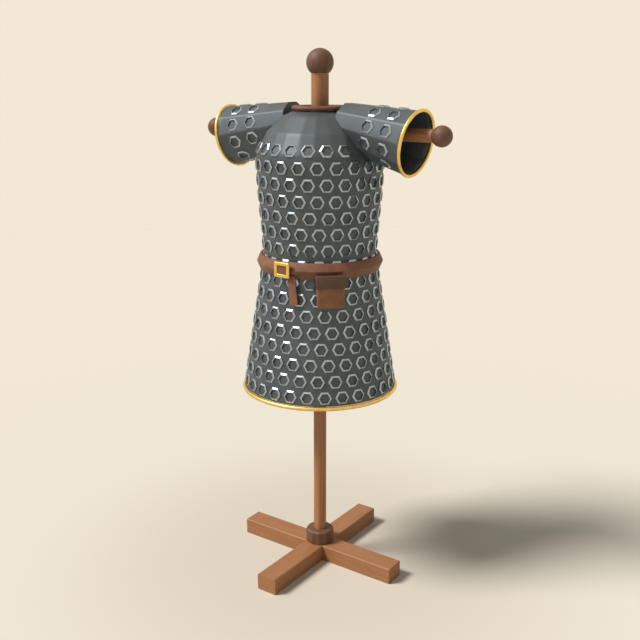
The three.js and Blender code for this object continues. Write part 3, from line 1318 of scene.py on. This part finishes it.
@dataclass
class Edgings:
    """The gilt tubes at hem and cuffs, and the leather binding at the neck."""

    arm: SleeveForm
    neck_radius: float = 79.5
    neck_z: float = 1513.5
    neck_tube: float = 7.5
    hem_radius: float = 247.2
    hem_z: float = 629.4
    hem_tube: float = 6.4
    cuff_radius: float = 95.3
    cuff_tube: float = 5.1

    def tube(self, name: str, radius: float, tube: float, steps: int) -> bpy.types.Object:
        """Bends one round tube into a ring.

        Args:
            name: The piece's name.
            radius: From the middle of the ring to the middle of the tube.
            tube: The tube's own radius.
            steps: How many steps go round.

        Returns:
            The ring, about Z at the origin.
        """
        start_clean()
        bpy.ops.mesh.primitive_torus_add(
            major_segments=steps, minor_segments=20, major_radius=radius * MM, minor_radius=tube * MM
        )
        made = named(name)
        smooth(made, 60.0)
        return made

    def neck(self) -> bpy.types.Object:
        """Builds the leather binding round the neck."""
        made = self.tube("neck_binding", self.neck_radius, self.neck_tube, 128)
        settle(made, Matrix.Translation((0, 0, self.neck_z * MM)))
        return made

    def hem(self) -> bpy.types.Object:
        """Builds the gilt edging of the hem."""
        made = self.tube("hem_edging", self.hem_radius, self.hem_tube, 192)
        settle(made, Matrix.Translation((0, 0, self.hem_z * MM)))
        return made

    def cuff(self, side: Side) -> bpy.types.Object:
        """Builds the gilt edging of one cuff."""
        made = self.tube(f"cuff_edging_{side.word}", self.cuff_radius, self.cuff_tube, 128)
        turn = self.arm.axis(side).to_track_quat("Z", "X").to_matrix().to_4x4()
        settle(made, Matrix.Translation(self.arm.centre(1.0, side)) @ turn)
        return made


# ---- The belt -----------------------------------------------------------------------------


@dataclass
class Stitching:
    """Waxed thread in short straight stitches."""

    length: float = 4.6
    thread: float = 1.1
    pitch: float = 7.5

    def pattern(self) -> bpy.types.Object:
        """Models one stitch along X: a short thread whose ends dip into the leather."""
        start_clean()
        bpy.ops.mesh.primitive_cylinder_add(
            vertices=6, radius=self.thread / 2 * MM, depth=self.length * MM, rotation=(0, math.pi / 2, 0)
        )
        made = named("stitch_pattern")
        settle(made, Matrix.Identity(4))
        bpy.ops.object.mode_set(mode="EDIT")
        select(made, faces=lambda face: abs(face.normal.x) > 0.9)
        bpy.ops.transform.resize(value=(1, 0.55, 0.55))
        bpy.ops.transform.translate(value=(0, 0, -self.thread * 0.35 * MM))
        bpy.ops.object.mode_set(mode="OBJECT")
        smooth(made, 70.0)
        return made

    def line(self, start: Vector, end: Vector, outward: Vector) -> list[Matrix]:
        """Spaces stitches evenly between two points.

        Args:
            start: Where the line starts, in metres.
            end: Where it ends.
            outward: The direction out of the leather.

        Returns:
            One matrix for each stitch.
        """
        count = max(int((end - start).length / (self.pitch * MM)), 1)
        return [facing(start.lerp(end, (step + 0.5) / count), end - start, outward) for step in range(count)]


@dataclass
class WaistBelt:
    """The ridged leather belt, its gilt buckle and its loose end."""

    stitching: Stitching
    inside: float = 184.4
    bottom: float = 1018.5
    ridge_z: float = 1045.0
    top: float = 1068.5
    bottom_radius: float = 187.5
    ridge_radius: float = 200.0
    top_radius: float = 188.5
    edge: float = 2.0
    stitch_inset: float = 5.0
    stitch_tilt: float = 0.42
    stitch_lift: float = 0.2
    buckle_width: float = 55.9
    buckle_height: float = 47.1
    buckle_bar: float = 10.5
    buckle_depth: float = 8.5
    buckle_x: float = 4.8
    buckle_z: float = 1045.9
    buckle_front: float = 209.5
    backing_depth: float = 3.0
    backing_gap: float = 0.3
    tail_width: float = 26.0
    tail_thickness: float = 5.0
    tail_length: float = 88.0
    tail_point: float = 4.0
    tail_top: float = 1027.0
    tail_back: float = 194.2
    tail_round: float = 9.2
    tail_slant: float = 9.0
    tail_lean: float = 6.5

    def outer_radius(self, height: float) -> float:
        """The belt's outside radius at a height, in millimetres."""
        low, high = (self.bottom + self.edge, self.bottom_radius + self.edge), (self.ridge_z, self.ridge_radius)
        if height > self.ridge_z:
            low, high = high, (self.top - self.edge, self.top_radius + self.edge)
        return low[1] + (high[1] - low[1]) * (height - low[0]) / (high[0] - low[0])

    def band(self) -> bpy.types.Object:
        """Builds the belt itself: a closed band whose outside rises to a soft ridge."""
        outline = [
            (self.inside, self.bottom),
            (self.bottom_radius, self.bottom),
            (self.bottom_radius + self.edge, self.bottom + self.edge),
            (self.outer_radius(self.ridge_z - 1.6), self.ridge_z - 1.6),
            (self.ridge_radius - 0.25, self.ridge_z),
            (self.outer_radius(self.ridge_z + 1.6), self.ridge_z + 1.6),
            (self.top_radius + self.edge, self.top - self.edge),
            (self.top_radius, self.top),
            (self.inside, self.top),
        ]
        made = turned("belt_band", outline, 144, closed=True)
        smooth(made, 24.0)
        return made

    def band_stitches(self) -> list[Matrix]:
        """Finds the stitches along both edges of the belt."""
        places = []
        for height in (self.bottom + self.stitch_inset + self.edge, self.top - self.stitch_inset - self.edge):
            radius = self.outer_radius(height)
            slope = 1.0 if height > self.ridge_z else -1.0
            count = int(math.tau * radius / self.stitching.pitch)
            for number in range(count):
                angle = math.tau * number / count
                outward = Vector((math.sin(angle), -math.cos(angle), slope * self.stitch_tilt))
                along = Vector((math.cos(angle), math.sin(angle), 0.0))
                spot = Vector((radius * math.sin(angle), -radius * math.cos(angle), height)) * MM
                places.append(facing(spot + outward.normalized() * self.stitch_lift * MM, along, outward))
        return places

    def buckle(self) -> bpy.types.Object:
        """Builds the square frame of the buckle."""
        made = block("buckle_frame", (self.buckle_width, self.buckle_depth, self.buckle_height))
        select(made, faces=lambda face: abs(face.normal.y) > 0.9)
        bpy.ops.mesh.inset(thickness=self.buckle_bar * MM, use_individual=True)
        bpy.ops.mesh.bridge_edge_loops()
        bpy.ops.object.mode_set(mode="OBJECT")
        soften(made, 2.4, 4, 40.0)
        middle = self.buckle_depth / 2 - self.buckle_front
        settle(made, Matrix.Translation(Vector((self.buckle_x, middle, self.buckle_z)) * MM))
        smooth(made, 35.0)
        return made

    def buckle_backing(self) -> bpy.types.Object:
        """Builds the turn of leather that shows inside the buckle's frame."""
        wide = self.buckle_width - 2 * (self.buckle_bar + self.backing_gap)
        tall = self.buckle_height - 2 * (self.buckle_bar + self.backing_gap)
        deep = self.buckle_front - self.backing_depth - self.ridge_radius
        made = block("buckle_backing", (wide, deep, tall))
        bpy.ops.mesh.subdivide(number_cuts=1)
        bpy.ops.object.mode_set(mode="OBJECT")
        soften(made, 1.2, 3, 50.0)
        middle = deep / 2 - self.buckle_front + self.backing_depth
        settle(made, Matrix.Translation(Vector((self.buckle_x, middle, self.buckle_z)) * MM))
        smooth(made, 40.0)
        return made

    def tail_place(self) -> Matrix:
        """Where the loose end hangs: leaned along the skirt, turned round the belt."""
        return hung_place(self.tail_back, self.tail_top, self.tail_lean, self.tail_round) @ Matrix.Rotation(
            -math.radians(self.tail_slant), 4, "Y"
        )

    def tail(self) -> bpy.types.Object:
        """Builds the loose end of the belt, with its clipped tip."""
        made = block(
            "belt_tail_strap",
            (self.tail_width, self.tail_thickness, self.tail_length),
            (0.0, -self.tail_thickness / 2, -self.tail_length / 2),
        )
        middle = -self.tail_length / 2 * MM
        select(made, edges=lambda edge: runs_back(edge) and edge.verts[0].co.z < middle)
        bpy.ops.mesh.bevel(offset=self.tail_point * 1.4 * MM, segments=3, profile=0.5)
        bpy.ops.object.mode_set(mode="OBJECT")
        soften(made, 1.0, 3, 50.0)
        settle(made, self.tail_place())
        smooth(made, 35.0)
        return made

    def tail_stitches(self) -> list[Matrix]:
        """Finds the stitches along both edges of the loose end."""
        place = self.tail_place()
        across = self.tail_width / 2 - 3.2
        places = []
        for x in (-across, across):
            start = Vector((x, -self.tail_thickness - 0.1, -4.0)) * MM
            end = Vector((x, -self.tail_thickness - 0.1, -self.tail_length + 7.0)) * MM
            places += [place @ spot for spot in self.stitching.line(start, end, Vector((0, -1, 0)))]
        return places


def hung_place(back: float, top: float, lean: float, turn: float) -> Matrix:
    """Where a piece hangs from the belt.

    Args:
        back: How far the piece's back lies from the pole, in millimetres.
        top: The height of its top.
        lean: How far it leans out with the skirt, in degrees.
        turn: How far it lies round the belt from the front, in degrees.

    Returns:
        The matrix.
    """
    lifted = Matrix.Translation(Vector((0, -back, top)) * MM) @ Matrix.Rotation(-math.radians(lean), 4, "X")
    return Matrix.Rotation(math.radians(turn), 4, "Z") @ lifted


@dataclass
class BeltPouch:
    """The leather pouch under the belt: a boxed body and a darker flap over its top."""

    stitching: Stitching
    top_width: float = 87.0
    bottom_width: float = 79.0
    height: float = 97.0
    depth: float = 20.7
    corner: float = 6.0
    crown: float = 1.6
    top: float = 1034.5
    back: float = 197.2
    lean: float = 5.0
    turn: float = 43.6
    flap_width: float = 89.4
    flap_drop: float = 38.0
    flap_thickness: float = 3.0
    gap: float = 0.3
    seam: float = 3.4

    @property
    def place(self) -> Matrix:
        """Where the pouch hangs."""
        return hung_place(self.back, self.top, self.lean, self.turn)

    def half_width(self, height: float) -> float:
        """Half the body's width at a height below the top, in millimetres."""
        share = -height / self.height
        return (self.top_width + (self.bottom_width - self.top_width) * share) / 2

    def bag(self) -> bpy.types.Object:
        """Builds the body: a narrowing box, crowned in front, with rounded corners."""
        tall = self.height - self.flap_thickness - self.gap
        deep = self.depth - self.crown
        middle = (0.0, -deep / 2, -self.flap_thickness - self.gap - tall / 2)
        made = block("pouch_bag", (self.top_width, deep, tall), middle)
        select(made, faces=lambda face: face.normal.z < -0.9)
        narrow = self.bottom_width / self.top_width
        bpy.ops.transform.resize(value=(narrow, 1, 1))
        select(made, edges=lambda edge: runs_back(edge) and edge.verts[0].co.z < -tall / 2 * MM)
        bpy.ops.mesh.bevel(offset=self.corner * MM, segments=3, profile=0.5)
        select(made, faces=lambda face: face.normal.y < -0.9)
        bpy.ops.mesh.inset(thickness=self.seam * 0.8 * MM)
        bpy.ops.mesh.inset(thickness=2.0 * MM)
        bpy.ops.transform.translate(value=(0, -self.crown * MM, 0))
        bpy.ops.object.mode_set(mode="OBJECT")
        soften(made, 1.6, 3, 50.0)
        settle(made, self.place)
        smooth(made, 40.0)
        return made

    def flap(self) -> bpy.types.Object:
        """Builds the flap: one piece of leather over the top and down the front."""
        start_clean()
        bpy.ops.mesh.primitive_plane_add(size=1.0)
        made = named("pouch_cover")
        front = self.depth + self.gap + self.flap_thickness
        bpy.ops.object.mode_set(mode="EDIT")
        bpy.ops.mesh.select_all(action="SELECT")
        bpy.ops.transform.resize(value=(self.flap_width * MM, front * MM, 1))
        bpy.ops.transform.translate(value=(0, -front / 2 * MM, 0))
        near_front = -front * 0.9 * MM
        select(made, edges=lambda edge: all(v.co.y < near_front for v in edge.verts))
        bpy.ops.mesh.extrude_region_move(TRANSFORM_OT_translate={"value": (0, 0, -self.flap_drop * MM)})
        select(made, edges=lambda edge: all(v.co.y < near_front and v.co.z > -MM for v in edge.verts))
        bpy.ops.mesh.bevel(offset=3.2 * MM, segments=4, profile=0.5)
        bpy.ops.mesh.select_all(action="SELECT")
        bpy.ops.mesh.normals_make_consistent(inside=False)
        bpy.ops.object.mode_set(mode="OBJECT")
        upward = sum(face.normal.z * face.area for face in made.data.polygons)
        if upward < 0:
            made.data.flip_normals()
        apply_modifier(made, "SOLIDIFY", thickness=self.flap_thickness * MM, offset=-1.0)
        soften(made, 0.9, 3, 50.0)
        settle(made, self.place)
        smooth(made, 40.0)
        return made

    def stitches(self) -> list[Matrix]:
        """Finds the stitches round the front of the bag and along the edge of the flap."""
        front = -self.depth + self.crown - 0.1
        low = -self.height + self.seam
        high = -self.flap_drop + 2.0
        wide_low, wide_high = self.half_width(low) - self.seam, self.half_width(high) - self.seam
        lines = [
            (Vector((-wide_high, front, high)), Vector((-wide_low, front, low + 4.0))),
            (Vector((wide_high, front, high)), Vector((wide_low, front, low + 4.0))),
            (Vector((-wide_low + 4.0, front, low)), Vector((wide_low - 4.0, front, low))),
        ]
        face = -self.depth - self.gap - self.flap_thickness - 0.1
        side, bottom = self.flap_width / 2 - self.seam, -self.flap_drop + self.seam
        lines += [
            (Vector((-side, face, -5.0)), Vector((-side, face, bottom))),
            (Vector((side, face, -5.0)), Vector((side, face, bottom))),
            (Vector((-side, face, bottom)), Vector((side, face, bottom))),
        ]
        outward = Vector((0, -1, 0))
        return [
            self.place @ spot for start, end in lines for spot in self.stitching.line(start * MM, end * MM, outward)
        ]


# ---- The stand ----------------------------------------------------------------------------


@dataclass
class Stand:
    """The turned stand: collar, pole, neck post, crossbar and balls on two foot beams."""

    leg_height: float = 54.0
    gap: float = 0.3
    collar_radius: float = 47.0
    collar_height: float = 47.0
    collar_chamfer: float = 5.0
    collar_sides: int = 12
    pole_radius: float = 21.0
    post_radius: float = 26.7
    post_bottom: float = 1392.0
    bar_radius: float = 19.2
    bar_z: float = 1443.6
    top_ball_radius: float = 41.7
    top_ball_z: float = 1646.7
    arm_ball_radius: float = 30.6
    arm_ball_x: float = 418.5
    edge: float = 1.2

    def collar(self) -> bpy.types.Object:
        """Builds the twelve-sided collar round the foot of the pole."""
        start_clean()
        bottom = self.leg_height + self.gap
        top = self.leg_height + self.collar_height
        bpy.ops.mesh.primitive_cylinder_add(
            vertices=self.collar_sides,
            radius=self.collar_radius * MM,
            depth=(top - bottom) * MM,
            location=(0, 0, (top + bottom) / 2 * MM),
        )
        made = named("foot_collar")
        bpy.ops.object.mode_set(mode="EDIT")
        select(made, faces=lambda face: abs(face.normal.z) > 0.9)
        wall = self.collar_radius - self.pole_radius - self.gap
        bpy.ops.mesh.inset(thickness=wall * MM, use_individual=True)
        bpy.ops.mesh.bridge_edge_loops()
        ring = (top - bottom) * 0.45 * MM
        rim = self.collar_radius * 0.9 * MM
        select(
            made,
            edges=lambda edge: all(v.co.z > ring and math.hypot(v.co.x, v.co.y) > rim for v in edge.verts),
        )
        bpy.ops.mesh.bevel(offset=self.collar_chamfer * MM, segments=1)
        bpy.ops.object.mode_set(mode="OBJECT")
        soften(made, 0.8, 2, 38.0)
        settle(made, Matrix.Identity(4))
        smooth(made, 12.0)
        return made

    def rod(self, name: str, radius: float, low: float, high: float, rings: int = 1) -> bpy.types.Object:
        """Turns a plain round rod about Z with softened ends.

        Args:
            name: The piece's name.
            radius: Its radius.
            low: The height of its lower end.
            high: The height of its upper end.
            rings: How many lengths it is divided into.

        Returns:
            The rod.
        """
        step = (high - low - 2 * self.edge) / rings
        sides = [(radius, low + self.edge + step * number) for number in range(rings + 1)]
        outline = [(0, low), (radius - self.edge, low), *sides, (radius - self.edge, high), (0, high)]
        made = turned(name, outline, 64)
        smooth(made, 30.0)
        return made

    def ball(self, name: str, radius: float, rod_radius: float) -> bpy.types.Object:
        """Turns a ball with a flat, softened seat where a rod meets it.

        Args:
            name: The piece's name.
            radius: The ball's radius.
            rod_radius: The radius of the rod.

        Returns:
            The ball, about Z at the origin, its seat below.
        """
        start = -90 + math.degrees(math.asin(rod_radius / radius))
        curve = arc((0, 0), radius, start + 3, 90, 30)
        seat = (rod_radius - 1.2, -math.sqrt(radius**2 - rod_radius**2))
        made = turned(name, [(0, seat[1]), seat, *curve[:-1], (0, radius)], 64)
        smooth(made, 35.0)
        return made

    def seat(self, radius: float, rod_radius: float) -> float:
        """How far a ball's seat lies from its centre."""
        return math.sqrt(radius**2 - rod_radius**2)

    def uprights(self) -> list[bpy.types.Object]:
        """Builds the pole and the neck post."""
        pole = self.rod("stand_pole", self.pole_radius, self.leg_height + self.gap, self.post_bottom - self.gap, 8)
        top = self.top_ball_z - self.seat(self.top_ball_radius, self.post_radius) - self.gap
        post = self.rod("stand_neck_post", self.post_radius, self.post_bottom, top, 2)
        return [pole, post]

    def bar(self) -> bpy.types.Object:
        """Builds the crossbar that stands in for the arms."""
        reach = self.arm_ball_x - self.seat(self.arm_ball_radius, self.bar_radius) - self.gap
        made = self.rod("stand_crossbar", self.bar_radius, -reach, reach, 6)
        settle(made, Matrix.Translation((0, 0, self.bar_z * MM)) @ Matrix.Rotation(math.pi / 2, 4, "Y"))
        return made

    def top_ball(self) -> bpy.types.Object:
        """Builds the ball on the neck post."""
        made = self.ball("stand_top_ball", self.top_ball_radius, self.post_radius)
        settle(made, Matrix.Translation((0, 0, self.top_ball_z * MM)))
        return made

    def arm_ball(self, side: Side) -> bpy.types.Object:
        """Builds the ball on one end of the crossbar."""
        made = self.ball(f"stand_arm_ball_{side.word}", self.arm_ball_radius, self.bar_radius)
        turn = Matrix.Rotation(side.value * math.pi / 2, 4, "Y")
        settle(made, Matrix.Translation(Vector((side.value * self.arm_ball_x, 0, self.bar_z)) * MM) @ turn)
        return made


# ---- The studio ---------------------------------------------------------------------------


@dataclass
class Studio:
    """A pale floor under a pale dome, one broad key light and an even fill."""

    backdrop_colour: str = "#f2e8d5"
    floor_colour: str = "#e8dfcd"
    # painted shade: the darker pool of floor colour round the stand's foot, and where it fades out
    shade_pool_colour: str = "#dad0be"
    shade_pool_start: float = 0.35
    shade_pool_end: float = 1.1
    floor_radius: float = 7.0
    fade_start: float = 1.0
    fade_end: float = 3.4
    fill: float = 0.28
    key: float = 3.3
    key_angle: float = 19.0
    key_azimuth: float = 225.0
    key_height: float = 49.5
    lens: float = 50.0
    camera_place: tuple[float, float, float] = (1.6006, -2.2740, 1.6088)
    camera_target: tuple[float, float, float] = (0.0, 0.0, 0.8434)

    def camera(self) -> None:
        """Sets the camera three-quarters from the front, on the wearer's left."""
        data = bpy.data.cameras.new("camera")
        data.lens = self.lens
        data.clip_end = 40.0
        camera = bpy.data.objects.new("camera", data)
        place = Vector(self.camera_place)
        camera.location = place
        camera.rotation_euler = (Vector(self.camera_target) - place).to_track_quat("-Z", "Y").to_euler()
        bpy.context.scene.collection.objects.link(camera)
        bpy.context.scene.camera = camera

    def lights(self) -> None:
        """Sets the key light and the even fill."""
        start_clean()
        azimuth, height = math.radians(self.key_azimuth), math.radians(self.key_height)
        source = Vector(
            (math.cos(azimuth) * math.cos(height), math.sin(azimuth) * math.cos(height), math.sin(height))
        )
        bpy.ops.object.light_add(type="SUN", location=source * 4)
        key = bpy.context.object
        key.name = "key_light"
        key.rotation_euler = source.to_track_quat("Z", "Y").to_euler()
        key.data.energy = self.key
        key.data.angle = math.radians(self.key_angle)
        world = bpy.data.worlds.new("fill")
        world.use_nodes = True
        background = world.node_tree.nodes["Background"]
        background.inputs["Color"].default_value = (1.0, 1.0, 1.0, 1.0)
        background.inputs["Strength"].default_value = self.fill
        bpy.context.scene.world = world
        bpy.context.scene.view_settings.view_transform = "Standard"

    def floor(self) -> bpy.types.Object:
        """Builds the floor: matt paper, darker round the stand as a painted shade pool, that runs out into the glow
        of the dome.
        """
        start_clean()
        bpy.ops.mesh.primitive_circle_add(vertices=96, radius=self.floor_radius, fill_type="NGON")
        made = named("studio_floor")
        material, tree = new_material("matt_paper_floor")
        reach = add_node(
            tree, "ShaderNodeVectorMath", {0: object_place(tree)}, operation="LENGTH"
        ).outputs["Value"]
        fade, outwards = (
            spread(tree, reach, span, WHOLE, interpolation_type="SMOOTHSTEP")
            for span in ((self.fade_start, self.fade_end), (self.shade_pool_start, self.shade_pool_end))
        )
        # painted shade: the paper darkens towards the stand's foot
        tone = blend(tree, outwards, self.shade_pool_colour, self.floor_colour)
        paper = add_node(tree, "ShaderNodeBsdfDiffuse", {"Color": tone}).outputs[0]
        glow = add_node(tree, "ShaderNodeEmission", {"Color": linear(self.backdrop_colour)}).outputs[0]
        mixed = add_node(tree, "ShaderNodeMixShader", {0: fade, 1: paper, 2: glow}).outputs[0]
        add_node(tree, "ShaderNodeOutputMaterial", {"Surface": mixed})
        material.cycles.emission_sampling = "NONE"
        made.data.materials.append(material)
        return made

    def dome(self) -> bpy.types.Object:
        """Builds the dome: an evenly glowing backdrop that lets the fill light through."""
        outline = arc((0, 0), self.floor_radius * 1000, 0, 90, 16)[:-1] + [(0, self.floor_radius * 1000)]
        made = turned("studio_dome", outline, 64)
        material, tree = new_material("lit_backdrop")
        glow = add_node(tree, "ShaderNodeEmission", {"Color": linear(self.backdrop_colour)}).outputs[0]
        add_node(tree, "ShaderNodeOutputMaterial", {"Surface": glow})
        material.cycles.emission_sampling = "NONE"
        made.data.materials.append(material)
        made.visible_diffuse = False
        made.visible_shadow = False
        return made


# ---- Putting it together ------------------------------------------------------------------


def build_garment(finishes: Finishes) -> None:
    """Args:
        finishes: The object's materials.
    """
    body, arm = BodyForm(), SleeveForm()
    cloth, rings, edgings = MailCloth(body, arm), MailRings(body, arm), Edgings(arm)
    pattern = rings.pattern()
    neck = dress(edgings.neck(), finishes.neck_leather, "neck_leather", "neck_trim")
    hem = dress(edgings.hem(), finishes.gilt, "gilt", "hem_trim")
    for half in Half:
        panel = dress(cloth.panel(half), finishes.mail, "mail_ground", f"body_{half.word}")
        laid = strew(f"steel_rings_{half.word}", pattern, rings.body_places(half))
        dress(laid, finishes.steel, "steel_rings")
    for side in Side:
        sleeve = dress(cloth.sleeve(side), finishes.mail, "mail_ground", f"sleeve_{side.word}")
        laid = strew(f"steel_rings_sleeve_{side.word}", pattern, rings.sleeve_places(side))
        dress(laid, finishes.steel, "steel_rings")
        cuff = dress(edgings.cuff(side), finishes.gilt, "gilt", f"cuff_trim_{side.word}")
    bpy.data.objects.remove(pattern)


def build_waist(finishes: Finishes) -> None:
    """Builds the belt, the buckle, the loose end and the pouch, with their stitches.

    Args:
        finishes: The object's materials.
    """
    stitching = Stitching()
    belt, pouch = WaistBelt(stitching), BeltPouch(stitching)
    dress(belt.band(), finishes.belt_leather, "belt_leather", "belt")
    dress(belt.buckle(), finishes.gilt, "gilt", "buckle")
    dress(belt.buckle_backing(), finishes.belt_leather, "belt_leather")
    dress(belt.tail(), finishes.belt_leather, "belt_leather", "belt_tail")
    dress(pouch.bag(), finishes.pouch_leather, "pouch_leather", "pouch_body")
    dress(pouch.flap(), finishes.flap_leather, "flap_leather", "pouch_flap")
    pattern = stitching.pattern()
    dress(strew("belt_stitches", pattern, belt.band_stitches()), finishes.thread, "belt_leather")
    dress(strew("tail_stitches", pattern, belt.tail_stitches()), finishes.thread, "belt_leather")
    dress(strew("pouch_stitches", pattern, pouch.stitches()), finishes.thread, "pouch_leather")
    bpy.data.objects.remove(pattern)


def build_stand(finishes: Finishes, nodes: dict[str, bpy.types.Object]) -> None:
    """Builds the turned parts of the stand and gives the foot beams their wood.

    Args:
        finishes: The object's materials.
        nodes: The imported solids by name.
    """
    stand = Stand()
    pole, post = stand.uprights()
    dress(pole, finishes.upright_wood, "wood", "pole")
    dress(post, finishes.upright_wood, "wood", "neck_post")
    dress(stand.bar(), finishes.bar_wood, "wood", "crossbar")
    dress(stand.collar(), finishes.dark_wood, "dark_wood", "base_collar")
    dress(stand.top_ball(), finishes.dark_wood, "dark_wood", "ball_top")
    for side in Side:
        dress(stand.arm_ball(side), finishes.dark_wood, "dark_wood", f"ball_{side.word}")
    for name, wood in (("leg_across", finishes.across_wood), ("leg_along", finishes.along_wood)):
        nodes[name].data.materials.clear()
        nodes[name].data.materials.append(wood)
        log.info("%s: kept from the frame", name)


def build_studio() -> None:
    """Sets up the floor, the dome, the lights and the camera."""
    studio = Studio()
    studio.floor()
    studio.dome()
    studio.lights()
    studio.camera()
    log.info("studio: ready")


def main() -> None:
    """Builds the dressed model in order and reports each piece."""
    logging.basicConfig(level=logging.INFO, format="%(name)s: %(message)s")
    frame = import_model()
    finishes = Finishes()
    build_studio()
    build_garment(finishes)
    build_waist(finishes)
    build_stand(finishes, frame["nodes"])
    start_clean()


if __name__ == "__main__":
    main()
